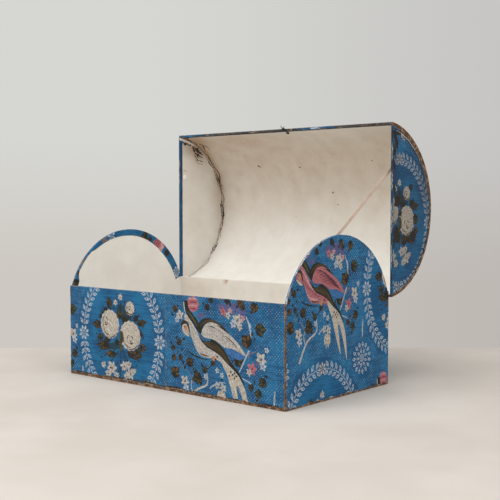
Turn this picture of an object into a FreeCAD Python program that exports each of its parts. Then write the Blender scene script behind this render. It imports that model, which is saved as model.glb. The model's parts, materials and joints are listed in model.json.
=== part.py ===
import FreeCAD, Part
import math
import os

# Sizes in millimetres. X runs along the box, -Y is the front, Z is up from the table.
LENGTH = 400.0            # base over its end boards
DEPTH = 230.0             # base over its front and back boards
WALL_TOP = 129.0          # upper edge of the front and back boards
ARCH_RISE = 80.0          # round top of an end above the wall tops
BOARD = 3.0               # pasteboard
PAPER = 0.3               # printed paper and lining paper
CLOTH = 0.4               # hinge cloth

LID_RISE = 106.0          # dome above the lid's rim
LID_LAP = 4.0             # how far the lid's rim comes down over the walls
SIDE_GAP = 1.2            # front and back paper to the lid's lining at the rim
END_GAP = 0.7             # end paper to the lining of the lid's ends
OPEN_ANGLE = 90.0         # lid at rest, from closed

UNDER_MARGIN = 3.0        # bare border round the sheet under the bottom
FRONT_SEAM = -2.0         # where the two front sheets meet
DOME_SEAM = 22.0          # where the two dome sheets meet
ARCH_TURN_IN = 8.0        # fold of the end paper on the inner face
WALL_TURN_IN = 6.0        # fold of the front paper on the inner face
RIM_TURN_IN = 5.0         # folds over the lid's rim
HINGE_LEAF = 24.0         # width of each cloth leaf
HINGE_SHORT = 1.0         # cloth stops this far from the box's ends
FOLD_R = 0.6              # rounded fold of the hinge cloth
FOLD_GAP = 0.3            # lid to the rounded fold

RIBBON_W = 5.0
RIBBON_T = 0.4
RIBBON_AHEAD = 0.55       # lower end of the ribbon, as a share of the half depth inside
RIBBON_UP = 0.5           # and as a share of the arch's rise
RIBBON_SLOPE = 34.8       # rise of the ribbon towards the back, in degrees
PATCH = 16.0              # paper patches over the ribbon's ends
PATCH_T = 0.3

THREAD_X = 14.0           # place of the thread along the lid's rim
THREAD_R = 0.3
THREAD_OFF = 0.32         # middle of the thread from the papers it passes
THREAD_UP = 2.4           # thread holes above the rim
THREAD_HOLE = 0.4         # radius
KNOT_R = 1.1
THREAD_TAIL = 7.0

HALF_L = LENGTH / 2
HALF_D = DEPTH / 2
INNER_X = HALF_L - BOARD
INNER_Y = HALF_D - BOARD
FLOOR_Z = PAPER                     # underside of the boards
FLOOR_TOP = FLOOR_Z + BOARD
END_OUT = HALF_L + PAPER            # outer face of the end papers
LINED_X = INNER_X - PAPER
LINED_Y = INNER_Y - PAPER
SKIN_Y = HALF_D + PAPER             # outer face of the front and back papers

ARCH_R = (INNER_Y ** 2 + ARCH_RISE ** 2) / (2 * ARCH_RISE)
ARCH_Z = WALL_TOP + ARCH_RISE - ARCH_R

RIM_Z = WALL_TOP - LID_LAP
LID_IN = SKIN_Y + SIDE_GAP + PAPER  # inner face of the dome board at the rim
LID_END_IN = END_OUT + END_GAP + PAPER
LID_END_OUT = LID_END_IN + BOARD


def dome_radius(half_inner):
    """Outer radius of a dome board whose inner half width at the rim is given."""
    low, high = half_inner, 3 * half_inner
    while high - low > 1e-7:
        radius = (low + high) / 2
        drop = radius - LID_RISE
        if math.sqrt((radius - BOARD) ** 2 - drop ** 2) < half_inner:
            low = radius
        else:
            high = radius
    return high


DOME_R = dome_radius(LID_IN)
DOME_IN = DOME_R - BOARD
DOME_Z = RIM_Z + LID_RISE - DOME_R
LINED_R = DOME_IN - PAPER

HINGE_Y = SKIN_Y + FOLD_R
HINGE_Z = RIM_Z - CLOTH - FOLD_GAP
V = FreeCAD.Vector

os.makedirs("parts", exist_ok=True)


def box(x0, x1, y0, y1, z0, z1):
    return Part.makeBox(x1 - x0, y1 - y0, z1 - z0, V(x0, y0, z0))


def segment(radius, centre_z, x0, x1, from_z):
    """The part of a cylinder along X that lies above a height."""
    whole = Part.makeCylinder(radius, x1 - x0, V(x0, 0, centre_z), V(1, 0, 0))
    return whole.common(box(x0, x1, -radius, radius, from_z, centre_z + radius))


def ring(inner, outer, centre_z, x0, x1, from_z):
    return segment(outer, centre_z, x0, x1, from_z).cut(
        segment(inner, centre_z, x0 - 1, x1 + 1, from_z - 1)
    )


def fuse(first, *rest):
    return first.fuse(list(rest)).removeSplitter()


def opened(shape):
    """A lid piece, turned from closed to where it rests."""
    return shape.rotated(V(0, HINGE_Y, HINGE_Z), V(-1, 0, 0), OPEN_ANGLE)


def sided(shape, side):
    """A piece drawn for the right end, on the right (1) or mirrored to the left (-1)."""
    return shape if side > 0 else shape.mirror(V(0, 0, 0), V(1, 0, 0))


def save(name, shape):
    if not shape.isValid():
        raise ValueError(name)
    shape.exportStep("parts/%s.step" % name)


# Base boards.
save("base_bottom_board", box(-INNER_X, INNER_X, -INNER_Y, INNER_Y, FLOOR_Z, FLOOR_TOP))
save("base_front_board", box(-HALF_L, HALF_L, -HALF_D, -INNER_Y, FLOOR_Z, WALL_TOP))
save("base_back_board", box(-HALF_L, HALF_L, INNER_Y, HALF_D, FLOOR_Z, WALL_TOP))
end_board = fuse(
    box(INNER_X, HALF_L, -INNER_Y, INNER_Y, FLOOR_Z, WALL_TOP),
    segment(ARCH_R, ARCH_Z, INNER_X, HALF_L, WALL_TOP),
)

# Printed paper and lining of one end: outer sheet, fold over the arch, inner sheet.
end_paper = fuse(
    box(HALF_L, END_OUT, -HALF_D, HALF_D, FLOOR_Z, WALL_TOP),
    segment(ARCH_R, ARCH_Z, HALF_L, END_OUT, WALL_TOP),
)
end_fold = fuse(
    ring(ARCH_R, ARCH_R + PAPER, ARCH_Z, LINED_X, END_OUT, WALL_TOP + PAPER),
    ring(ARCH_R - ARCH_TURN_IN, ARCH_R, ARCH_Z, LINED_X, INNER_X, WALL_TOP),
)
end_lining = fuse(
    box(LINED_X, INNER_X, -INNER_Y, INNER_Y, FLOOR_TOP, WALL_TOP),
    segment(ARCH_R - ARCH_TURN_IN, ARCH_Z, LINED_X, INNER_X, WALL_TOP),
)
for word, side in (("left", -1), ("right", 1)):
    save("base_%s_end_board" % word, sided(end_board, side))
    save("base_%s_end_paper" % word, sided(end_paper, side))
    save("base_%s_arch_fold" % word, sided(end_fold, side))
    save("base_%s_end_lining" % word, sided(end_lining, side))


def front_sheet(x0, x1):
    """Printed paper on the front, over the top edge and down the inside."""
    inside0 = max(x0, -LINED_X)
    inside1 = min(x1, LINED_X)
    top = WALL_TOP + PAPER
    return fuse(
        box(x0, x1, -SKIN_Y, -HALF_D, FLOOR_Z, top),
        box(x0, x1, -HALF_D, -INNER_Y, WALL_TOP, top),
        box(inside0, inside1, -INNER_Y, -LINED_Y, WALL_TOP - WALL_TURN_IN, top),
    )


save("base_front_rose_paper", front_sheet(-END_OUT, FRONT_SEAM))
save("base_front_bird_paper", front_sheet(FRONT_SEAM, END_OUT))
save("base_back_paper", box(-END_OUT, END_OUT, HALF_D, SKIN_Y, FLOOR_Z, WALL_TOP))
save(
    "base_under_paper",
    box(
        UNDER_MARGIN - HALF_L,
        HALF_L - UNDER_MARGIN,
        UNDER_MARGIN - HALF_D,
        HALF_D - UNDER_MARGIN,
        0,
        FLOOR_Z,
    ),
)

# Linings of the base.
lining_z = FLOOR_TOP + PAPER
save("base_floor_lining", box(-LINED_X, LINED_X, -INNER_Y, INNER_Y, FLOOR_TOP, lining_z))
save(
    "base_front_lining",
    box(-LINED_X, LINED_X, -INNER_Y, -LINED_Y, lining_z, WALL_TOP - WALL_TURN_IN),
)
save(
    "base_back_lining",
    fuse(
        box(-LINED_X, LINED_X, LINED_Y, INNER_Y, lining_z, WALL_TOP + PAPER),
        box(-HALF_L, HALF_L, INNER_Y, HALF_D, WALL_TOP, WALL_TOP + PAPER),
    ),
)

# Thread through the front rim of the lid, drawn with the lid closed.
def on_dome(radius, z):
    """A point of a round of the dome at its front, at a height."""
    return V(THREAD_X, -math.sqrt(radius ** 2 - (z - DOME_Z) ** 2), z)


def rod(start, end, radius):
    along = end - start
    return Part.makeCylinder(radius, along.Length, start, along)


def ball(centre, radius):
    return Part.makeSphere(radius, centre)


thread_z = RIM_Z + THREAD_UP
thread_low = RIM_Z - PAPER - THREAD_OFF
corners = [
    on_dome(DOME_R + PAPER + THREAD_OFF, thread_z),
    on_dome(DOME_R + PAPER + THREAD_OFF, thread_low),
    on_dome(LINED_R - THREAD_OFF, thread_low),
    on_dome(LINED_R - THREAD_OFF, thread_z),
]
knot_at = corners[0] + V(0, -KNOT_R, KNOT_R / 2)
thread = ball(knot_at, KNOT_R).fuse(
    [rod(corners[i], corners[(i + 1) % 4], THREAD_R) for i in range(4)]
    + [ball(c, THREAD_R) for c in corners]
    + [
        rod(knot_at, knot_at + V(sway, -THREAD_TAIL / 2, drop), THREAD_R)
        for sway, drop in ((-THREAD_TAIL / 2, -THREAD_TAIL / 2), (THREAD_TAIL / 2, -THREAD_TAIL))
    ]
)
outward = V(0, corners[0].y - corners[3].y, 0)
thread_hole = rod(corners[3] - outward, corners[0] + outward, THREAD_HOLE)
save("lid_thread_tie", opened(thread))

# Lid boards, closed: the dome laps over the arch edges of its two ends.
dome = ring(DOME_IN, DOME_R, DOME_Z, -LID_END_OUT, LID_END_OUT, RIM_Z)
save("lid_dome_board", opened(dome.cut(thread_hole)))
lid_end = segment(DOME_IN, DOME_Z, LID_END_IN, LID_END_OUT, RIM_Z)

# Printed paper round the dome, from its front rim to just above the hinge.
skin = ring(DOME_R, DOME_R + PAPER, DOME_Z, -LID_END_OUT, LID_END_OUT, RIM_Z)
save(
    "lid_dome_left_paper",
    opened(skin.common(box(-LENGTH, DOME_SEAM, -DEPTH, DEPTH, 0, LENGTH)).cut(thread_hole)),
)
save(
    "lid_dome_right_paper",
    opened(skin.common(box(DOME_SEAM, LENGTH, -DEPTH, DEPTH, 0, LENGTH)).cut(thread_hole)),
)

# Lining of the dome, with the fold of the front paper below it.
inner = ring(LINED_R, DOME_IN, DOME_Z, -LID_END_IN, LID_END_IN, RIM_Z)
front_low = box(-LENGTH, LENGTH, -DEPTH, 0, 0, RIM_Z + RIM_TURN_IN)
save("lid_dome_lining", opened(inner.cut(front_low)))
front_y = math.sqrt((DOME_R + PAPER) ** 2 - (RIM_Z - DOME_Z) ** 2)
front_fold = fuse(
    inner.common(front_low),
    box(-LID_END_IN, LID_END_IN, -front_y, PAPER - LID_IN, RIM_Z - PAPER, RIM_Z),
    box(-LID_END_OUT, LID_END_OUT, -front_y, -LID_IN, RIM_Z - PAPER, RIM_Z),
)
save("lid_front_fold", opened(front_fold.cut(thread_hole)))

# Ends of the lid: printed sheet, lining, and the fold over the straight edge.
lid_end_paper = segment(DOME_IN, DOME_Z, LID_END_OUT, LID_END_OUT + PAPER, RIM_Z)
lid_end_lining = segment(LINED_R, DOME_Z, LID_END_IN - PAPER, LID_END_IN, RIM_Z + RIM_TURN_IN)
lined_half = math.sqrt(LINED_R ** 2 - (RIM_Z + RIM_TURN_IN - DOME_Z) ** 2)
lid_end_fold = fuse(
    box(LID_END_IN, LID_END_OUT + PAPER, -LID_IN, LID_IN, RIM_Z - PAPER, RIM_Z),
    box(LID_END_IN - PAPER, LID_END_IN, -lined_half, lined_half, RIM_Z - PAPER, RIM_Z),
    box(
        LID_END_IN - PAPER,
        LID_END_IN,
        -lined_half,
        lined_half,
        RIM_Z,
        RIM_Z + RIM_TURN_IN,
    ),
)
for word, side in (("left", -1), ("right", 1)):
    save("lid_%s_end_board" % word, opened(sided(lid_end, side)))
    save("lid_%s_end_paper" % word, opened(sided(lid_end_paper, side)))
    save("lid_%s_end_lining" % word, opened(sided(lid_end_lining, side)))
    save("lid_%s_end_fold" % word, opened(sided(lid_end_fold, side)))

# Cloth hinge: leaf on the back with its rounded fold, and leaf under and up the lid.
cloth_x = HALF_L - HINGE_SHORT
hinge_fold = Part.makeCylinder(FOLD_R, 2 * cloth_x, V(-cloth_x, HINGE_Y, HINGE_Z), V(1, 0, 0))
save(
    "hinge_base_leaf",
    fuse(
        hinge_fold,
        box(-cloth_x, cloth_x, SKIN_Y, SKIN_Y + CLOTH, HINGE_Z - HINGE_LEAF, HINGE_Z),
    ),
)
fold_room = Part.makeCylinder(
    FOLD_R + FOLD_GAP, LENGTH * 2, V(-LENGTH, HINGE_Y, HINGE_Z), V(1, 0, 0)
)
leaf_up = ring(
    DOME_R + PAPER, DOME_R + PAPER + CLOTH, DOME_Z, -cloth_x, cloth_x, RIM_Z - CLOTH
).common(box(-LENGTH, LENGTH, 0, DEPTH, 0, RIM_Z + HINGE_LEAF))
leaf_under = box(-cloth_x, cloth_x, LID_IN, front_y + CLOTH / 2, RIM_Z - CLOTH, RIM_Z)
leaf_under = leaf_under.cut(ring(DOME_R, DOME_R + PAPER, DOME_Z, -LENGTH, LENGTH, RIM_Z))
save("hinge_lid_leaf", opened(fuse(leaf_up, leaf_under).cut(fold_room)))

# Ribbon stay, straight from the right end of the base to the inside of the open dome.
ribbon_x = LINED_X - RIBBON_T
ribbon = box(ribbon_x, LINED_X, -PATCH / 2, LENGTH, -RIBBON_W / 2, RIBBON_W / 2)
ribbon = ribbon.rotated(V(0, 0, 0), V(1, 0, 0), RIBBON_SLOPE)
ribbon_foot = V(0, -RIBBON_AHEAD * INNER_Y, WALL_TOP + RIBBON_UP * ARCH_RISE)
ribbon = ribbon.translated(ribbon_foot)
patch_r = LINED_R - PATCH_T
ribbon = ribbon.cut(opened(ring(patch_r, 2 * LENGTH, DOME_Z, -LENGTH, LENGTH, RIM_Z)))
save("stay_ribbon", ribbon)
base_patch = box(ribbon_x - PATCH_T, ribbon_x, -PATCH / 2, PATCH / 2, -PATCH / 2, PATCH / 2)
base_patch = base_patch.rotated(V(0, 0, 0), V(1, 0, 0), RIBBON_SLOPE)
save("stay_base_patch", base_patch.translated(ribbon_foot))
far_end = ribbon.common(opened(ring(patch_r - PATCH, patch_r, DOME_Z, -LENGTH, LENGTH, RIM_Z)))
at = far_end.BoundBox.Center
patch_cut = box(
    LINED_X - PATCH, LINED_X, at.y - PATCH, at.y + PATCH, at.z - PATCH / 4, at.z + PATCH
)
lid_patch = opened(ring(patch_r, LINED_R, DOME_Z, -LENGTH, LENGTH, RIM_Z)).common(patch_cut)
save("stay_lid_patch", lid_patch)
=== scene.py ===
import json
import math
import random

import bpy
import numpy as np
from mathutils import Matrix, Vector, noise
from mathutils.geometry import delaunay_2d_cdt
from mathutils.kdtree import KDTree


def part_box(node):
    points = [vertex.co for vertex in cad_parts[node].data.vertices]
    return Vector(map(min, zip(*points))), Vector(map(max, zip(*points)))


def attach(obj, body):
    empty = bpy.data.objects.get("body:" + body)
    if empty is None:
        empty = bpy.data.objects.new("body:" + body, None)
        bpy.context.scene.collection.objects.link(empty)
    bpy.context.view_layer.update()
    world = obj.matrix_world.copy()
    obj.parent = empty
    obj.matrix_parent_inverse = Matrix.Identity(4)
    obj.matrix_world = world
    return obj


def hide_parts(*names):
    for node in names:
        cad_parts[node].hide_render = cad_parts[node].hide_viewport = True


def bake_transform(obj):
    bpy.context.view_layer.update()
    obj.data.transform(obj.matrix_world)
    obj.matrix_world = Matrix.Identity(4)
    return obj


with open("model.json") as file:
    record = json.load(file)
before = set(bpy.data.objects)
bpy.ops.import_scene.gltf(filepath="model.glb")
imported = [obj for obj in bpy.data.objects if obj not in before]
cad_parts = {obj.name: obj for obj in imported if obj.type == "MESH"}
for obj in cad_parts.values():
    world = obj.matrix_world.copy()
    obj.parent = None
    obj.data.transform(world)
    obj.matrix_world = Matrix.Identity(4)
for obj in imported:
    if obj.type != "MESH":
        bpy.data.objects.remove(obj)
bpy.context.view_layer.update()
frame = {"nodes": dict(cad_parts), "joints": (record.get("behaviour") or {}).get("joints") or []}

MM = 0.001


def limits(node):
    """Lowest and highest corner of a CAD node, in millimetres."""
    low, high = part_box(node)
    return [c / MM for c in low], [c / MM for c in high]


# Sizes of the boards, in millimetres, read from the frame.
FRONT_LOW, FRONT_HIGH = limits("base_front_board")
HALF_L = FRONT_HIGH[0]
HALF_D = -FRONT_LOW[1]
WALL_TOP = FRONT_HIGH[2]
FLOOR_Z = FRONT_LOW[2]
BOARD = FRONT_HIGH[1] - FRONT_LOW[1]
INNER_X = HALF_L - BOARD
INNER_Y = HALF_D - BOARD
FLOOR_TOP = FLOOR_Z + BOARD
PAPER = limits("base_right_end_paper")[1][0] - HALF_L
END_OUT = HALF_L + PAPER

ARCH_RISE = limits("base_right_end_board")[1][2] - WALL_TOP
ARCH_R = (INNER_Y ** 2 + ARCH_RISE ** 2) / (2 * ARCH_RISE)
ARCH_Z = WALL_TOP + ARCH_RISE - ARCH_R

LID_LOW, LID_HIGH = limits("lid_dome_board")
LID_X = LID_HIGH[0]
LID_IN_X = limits("lid_right_end_board")[0][0]
RIM_Y = LID_LOW[1]
LID_BACK = LID_HIGH[1]
LID_RISE = LID_BACK - RIM_Y
RIM_HALF = (LID_HIGH[2] - LID_LOW[2]) / 2
DOME_R = (RIM_HALF ** 2 + LID_RISE ** 2) / (2 * LID_RISE)
DOME_IN = DOME_R - BOARD
DOME_Y = LID_BACK - DOME_R
DOME_Z = (LID_HIGH[2] + LID_LOW[2]) / 2
HINGE_Z = frame["joints"][0]["pos_m"][2] / MM

# Papers, in millimetres.
PRINT_THICK = 0.2
LINING_THICK = 0.1
COCKLE = 0.03             # how far a pasted sheet lifts off its board
FOLD_R = 0.5              # rounding of the paper where it goes over a board's edge
WALL_TURN_IN = 6.0
RIM_TURN_IN = 5.0
FRONT_SEAM = limits("base_front_bird_paper")[0][0]
DOME_SEAM = limits("lid_dome_right_paper")[0][0]

# How far the edge of a sheet is worn back, and how unevenly.
NEAT = (0.0, 0.15)
FRAYED = (0.6, 0.7)
WORN = (1.6, 1.3)

# Ribbon stay, hinge cloth and thread, in millimetres and radians.
RIBBON_WIDTH = 5.0
RIBBON_THICK = 0.35
RIBBON_SAG = 1.2
PATCH = 16.0              # paper squares over the ribbon's ends
PATCH_SLOPE = math.radians(34.8)
PATCH_THICK = 0.25
CLOTH_THICK = 0.3
THREAD_R = 0.3
TAIL_R = 0.34
KNOT_R = 0.6

# The wallpaper's repeat: garlanded roses and birds alternate, a rosette at every corner.
COLUMN = 178.0
DROP = 183.0
GARLAND_A = 78.0          # half width and half height of a garland
GARLAND_B = 89.3
BLOCK_WOBBLE = 0.35       # how far the cut of a printing block strays

# Colours of the print, and of the marks on the papers. Bare ones show the paper's own ground.
INKS = {
    "ground": (38, 104, 158),
    "plain": (38, 104, 158),
    "white": (204, 199, 192),
    "garland": (188, 201, 216),
    "cream": (212, 203, 189),
    "olive": (40, 37, 24),
    "brown": (58, 43, 26),
    "rust": (112, 80, 36),
    "umber": (84, 68, 32),
    "moss": (84, 80, 40),
    "peach": (206, 148, 116),
    "petal": (192, 183, 182),
    "azure": (66, 122, 188),
    "blush": (222, 170, 172),
    "pink": (194, 118, 126),
    "rose": (150, 62, 76),
    "wine": (106, 46, 58),
    "slate": (98, 128, 162),
    "violet": (94, 100, 152),
    "teal": (34, 66, 82),
    "line": (128, 108, 104),
    "stock": (178, 160, 136),
    "sliver": (252, 249, 243),
    "grime": (92, 82, 70),
    "dusk": (46, 66, 82),
    "lining": (234, 228, 219),
    # Dark of cracks, and of the painted shadow under the lid's loose lining strip.
    "crack_and_shadow": (48, 34, 22),
    "speck": (96, 80, 66),
}
BARE = ("ground", "plain")


def linear(red, green, blue):
    """An sRGB colour, 0 to 255, as Blender's linear values."""
    return [
        c / 12.92 if c <= 0.04045 else ((c + 0.055) / 1.055) ** 2.4
        for c in (red / 255, green / 255, blue / 255)
    ]


# Outlines and brush strokes, in millimetres.
def rounded(points, steps=4, closed=True):
    """A smooth line through a few points."""
    points = [np.array(p, float) for p in points]
    count = len(points)
    line = []
    for i in range(count if closed else count - 1):
        if closed:
            a, b, c, d = (points[(i + k) % count] for k in (-1, 0, 1, 2))
        else:
            a, b, c, d = (points[min(max(i + k, 0), count - 1)] for k in (-1, 0, 1, 2))
        for t in np.linspace(0, 1, steps, endpoint=False):
            line.append(
                b + 0.5 * t * (c - a + t * (2 * a - 5 * b + 4 * c - d + t * (3 * (b - c) + d - a)))
            )
    if not closed:
        line.append(points[-1])
    return np.array(line)


def brushed(points, widths, steps):
    """A line, its way to the left and its half widths, spread evenly from start to end."""
    line = rounded(points, steps, closed=False)
    way = np.gradient(line, axis=0)
    way /= np.linalg.norm(way, axis=1)[:, None]
    side = np.stack([-way[:, 1], way[:, 0]], 1)
    half = np.interp(np.linspace(0, 1, len(line)), np.linspace(0, 1, len(widths)), widths) / 2
    return line, side, half


def stroke(points, widths, steps=4):
    """A brush stroke along a line."""
    line, side, half = brushed(points, widths, steps)
    reach = side * half[:, None]
    return np.concatenate([line - reach, (line + reach)[::-1]])


def tear(points, widths, seed):
    """A ragged mark along a line, its two sides frayed apart from each other."""
    line, side, half = brushed(points, widths, 10)
    edges = []
    for layer in (0.0, 5.0):
        rough = [noise.noise((p[0] * 0.3, p[1] * 0.3, seed + layer)) for p in line]
        fine = [noise.noise((p[0] * 1.3, p[1] * 1.3, seed + layer)) for p in line]
        edges.append(half * (0.7 + 0.9 * np.array(rough) + 0.7 * np.array(fine)))
    sway = np.array([noise.noise((p[0] * 0.2, p[1] * 0.2, seed + 2.0)) for p in line]) * 1.2
    low = line + side * (sway - np.maximum(edges[0], 0.05))[:, None]
    high = line + side * (sway + np.maximum(edges[1], 0.05))[:, None]
    return np.concatenate([low, high[::-1]])


def leaf(x, y, angle, length, width, steps=5):
    """A pointed leaf from its foot, in degrees from the x axis."""
    share = np.linspace(0, 1, steps + 1)
    half = width / 2 * np.sin(np.pi * share ** 0.85)
    low = np.stack([share * length, -half], 1)
    high = np.stack([share * length, half], 1)[1:-1][::-1]
    return turned(np.concatenate([low, high]), angle) + (x, y)


def blob(x, y, wide, high, angle=0.0, lobes=0, depth=0.0, count=14):
    """A round or scalloped patch."""
    share = np.linspace(0, 2 * np.pi, max(count, 4 * lobes), endpoint=False)
    swell = 1 + depth * np.cos(lobes * share)
    outline = np.stack([wide * swell * np.cos(share), high * swell * np.sin(share)], 1)
    return turned(outline, angle) + (x, y)


def turned(outline, angle):
    """An outline turned about its origin, in degrees."""
    c, s = math.cos(math.radians(angle)), math.sin(math.radians(angle))
    return outline @ np.array([[c, s], [-s, c]])


def moved(art, u, v, angle=0.0, size=(1.0, 1.0)):
    """A motif at a place on a sheet."""
    return [(ink, turned(shape * size, angle) + (u, v)) for ink, shape in art]


# Motifs of the wallpaper, each a list of inks and outlines in printing order.
def spoke(radius, angle):
    """The place at a radius and an angle in degrees."""
    return radius * math.cos(math.radians(angle)), radius * math.sin(math.radians(angle))


def hollow_leaf(x, y, angle, length, width, ink="garland", ground="ground"):
    """A leaf with a slit of bare ground along its vein."""
    dx, dy = spoke(0.34 * length, angle)
    return [
        (ink, leaf(x, y, angle, length, width)),
        (ground, leaf(x + dx, y + dy, angle, 0.46 * length, 0.34 * width, 4)),
    ]


def daisy(radius, petals, ink="garland", heart="ground", angle=0.0):
    art = []
    for i in range(petals):
        way = angle + 360 * i / petals
        art.append((ink, leaf(*spoke(0.36 * radius, way), way, 0.66 * radius, 0.4 * radius)))
    art.append((ink, blob(0, 0, 0.33 * radius, 0.33 * radius, count=10)))
    art.append((heart, blob(0, 0, 0.25 * radius, 0.25 * radius, count=8)))
    art.append((ink, blob(0, 0, 0.1 * radius, 0.1 * radius, count=6)))
    return art


def blossom(radius, ink="white", heart="line", petals=5):
    """A small loose flower, its petals notched and not all alike."""
    art = []
    for i in range(petals):
        way = 20 + 360 * i / petals
        size = (0.42, 0.5, 0.36, 0.46, 0.4, 0.5)[i % 6] * radius
        art.append((ink, blob(*spoke(0.56 * radius, way), size, 0.7 * size, way + 14, 3, 0.12, 12)))
    art.append((heart, blob(0, 0, 0.22 * radius, 0.16 * radius, 30, 3, 0.2, 9)))
    art.append((heart, stroke([spoke(0.3 * radius, 92), spoke(0.8 * radius, 100)], [0.5, 0.3], 2)))
    art.append((heart, stroke([spoke(0.3 * radius, 236), spoke(0.8 * radius, 228)], [0.5, 0.3], 2)))
    return art


def ivy_leaf(radius, patch="umber"):
    """A dark leaf of five uneven lobes, warmer inside them, on a short stalk."""
    art = [("olive", stroke([(0, 0), (-1.1 * radius, 0.2 * radius)], [1.2, 0.6], 2))]
    for way, long in ((-118, 1.0), (-58, 1.25), (4, 1.4), (60, 1.15), (114, 1.05)):
        art.append(("olive", leaf(*spoke(-0.2 * radius, way), way, long * radius, 1.05 * radius, 5)))
    art.append(("olive", blob(0, 0, 0.62 * radius, 0.56 * radius, 0, 5, 0.15, 15)))
    for way, long in ((-54, 0.8), (8, 0.92), (66, 0.66), (118, 0.6)):
        art.append((patch, leaf(*spoke(0.2 * radius, way), way, long * radius, 0.4 * radius, 4)))
    return art


def rosette():
    """Two rings of hollow petals, round a ringed middle."""
    art = [("plain", blob(0, 0, 25, 25, count=24))]
    for count, inner, length, width in ((15, 14.8, 7.4, 4.8), (9, 6.4, 6.4, 4.4)):
        for i in range(count):
            way = 360 * (i + 0.5) / count
            art += hollow_leaf(*spoke(inner, way), way, length, width, ground="plain")
    for i in range(20):
        art.append(("garland", blob(*spoke(13.6, 18 * i), 0.8, 0.8, count=6)))
    for radius, ink in ((5.2, "garland"), (3.6, "plain"), (2.2, "garland"), (1.0, "plain")):
        art.append((ink, blob(0, 0, radius, radius, count=12)))
    return art


def garland():
    """An oval wreath: paired leaves climb from a daisy at each side to a flower at top and bottom."""
    art = [("plain", blob(0, 0, GARLAND_A + 14, GARLAND_B + 14, count=48))]
    climb = np.radians(np.linspace(0, 90, 200))
    x, y = GARLAND_A * np.cos(climb), GARLAND_B * np.sin(climb)
    length = np.concatenate([[0], np.cumsum(np.hypot(np.diff(x), np.diff(y)))])
    for flip_x in (1, -1):
        for flip_y in (1, -1):
            rib = np.radians([8, 25, 45, 65, 84])
            points = [(flip_x * GARLAND_A * math.cos(a), flip_y * GARLAND_B * math.sin(a)) for a in rib]
            art.append(("garland", stroke(points, [1.0, 0.8])))
            for reach in np.arange(12.5, length[-1] - 10.0, 9.6):
                at = np.interp(reach, length, climb)
                foot = np.array([flip_x * GARLAND_A * math.cos(at), flip_y * GARLAND_B * math.sin(at)])
                way = math.degrees(
                    math.atan2(flip_y * GARLAND_B * math.cos(at), -flip_x * GARLAND_A * math.sin(at))
                )
                for side in (1, -1):
                    start = foot + spoke(2.2, way + side * 70)
                    stalk = [foot, start + spoke(1.0, way + side * 50)]
                    berry = foot + spoke(6.4, way - side * 8)
                    art += hollow_leaf(*start, way + side * 46, 10.0, 5.0, ground="plain")
                    art.append(("garland", stroke(stalk, [0.8, 0.5], 2)))
                    art.append(("garland", blob(*berry, 0.9, 0.6, way, count=6)))
    for side in (1, -1):
        art += moved(daisy(11.0, 8, angle=22.5), side * GARLAND_A, 0)
        art += moved(daisy(8.5, 7, "white", angle=90), 0, side * GARLAND_B)
    return art


def rose(wide, high, heart):
    """A full rose: a fine scalloped edge, a cupped middle and a few dark touches at its heart."""
    art = [
        ("petal", blob(0.5, -0.6, wide, high, 0, 15, 0.035)),
        ("cream", blob(-0.2, 0.3, 0.97 * wide, 0.97 * high, 0, 15, 0.04)),
    ]

    def petal_line(share, start, turns):
        """Places along the edge of a petal, at a share of the rose's size."""
        spokes = [spoke(1, start + turn) for turn in turns]
        return [(share * wide * x, share * high * y) for x, y in spokes]

    for share, starts in ((0.84, (20, 110, 300)), (0.72, (60, 335))):
        for start in starts:
            art.append(("petal", stroke(petal_line(share, start, (0, 20, 42, 62)), [0.3, 1.0, 0.3], 3)))
    heart_x, heart_y = heart[0] * wide, heart[1] * high
    cup_x, cup_y = 0.4 * heart[0] * wide, 0.4 * heart[1] * high
    for size, ink in ((0.64, "petal"), (0.62, "cream")):
        x = cup_x + (0.62 - size) * heart[0] * wide
        y = cup_y + (0.62 - size) * heart[1] * high
        art.append((ink, blob(x, y, size * wide, size * high, 20, 8, 0.05)))
    for share, start, sweep, width in (
        (0.12, 160, 150, 1.6),
        (0.24, 235, 95, 2.2),
        (0.26, 20, 80, 1.5),
        (0.38, 115, 70, 1.4),
    ):
        points = []
        for turn in (0, 0.35, 0.7, 1):
            x, y = spoke(share, start + turn * sweep)
            points.append((heart_x + x * wide, heart_y + y * high))
        art.append(("brown", stroke(points, [0.5, width, 0.5], 3)))
    for share, start, ink in ((0.8, 205, "brown"), (0.94, 255, "brown"), (0.74, 150, "line")):
        art.append((ink, stroke(petal_line(share, start, (0, 25, 50, 70)), [0.4, 1.7, 0.4], 3)))
    return art


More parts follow.
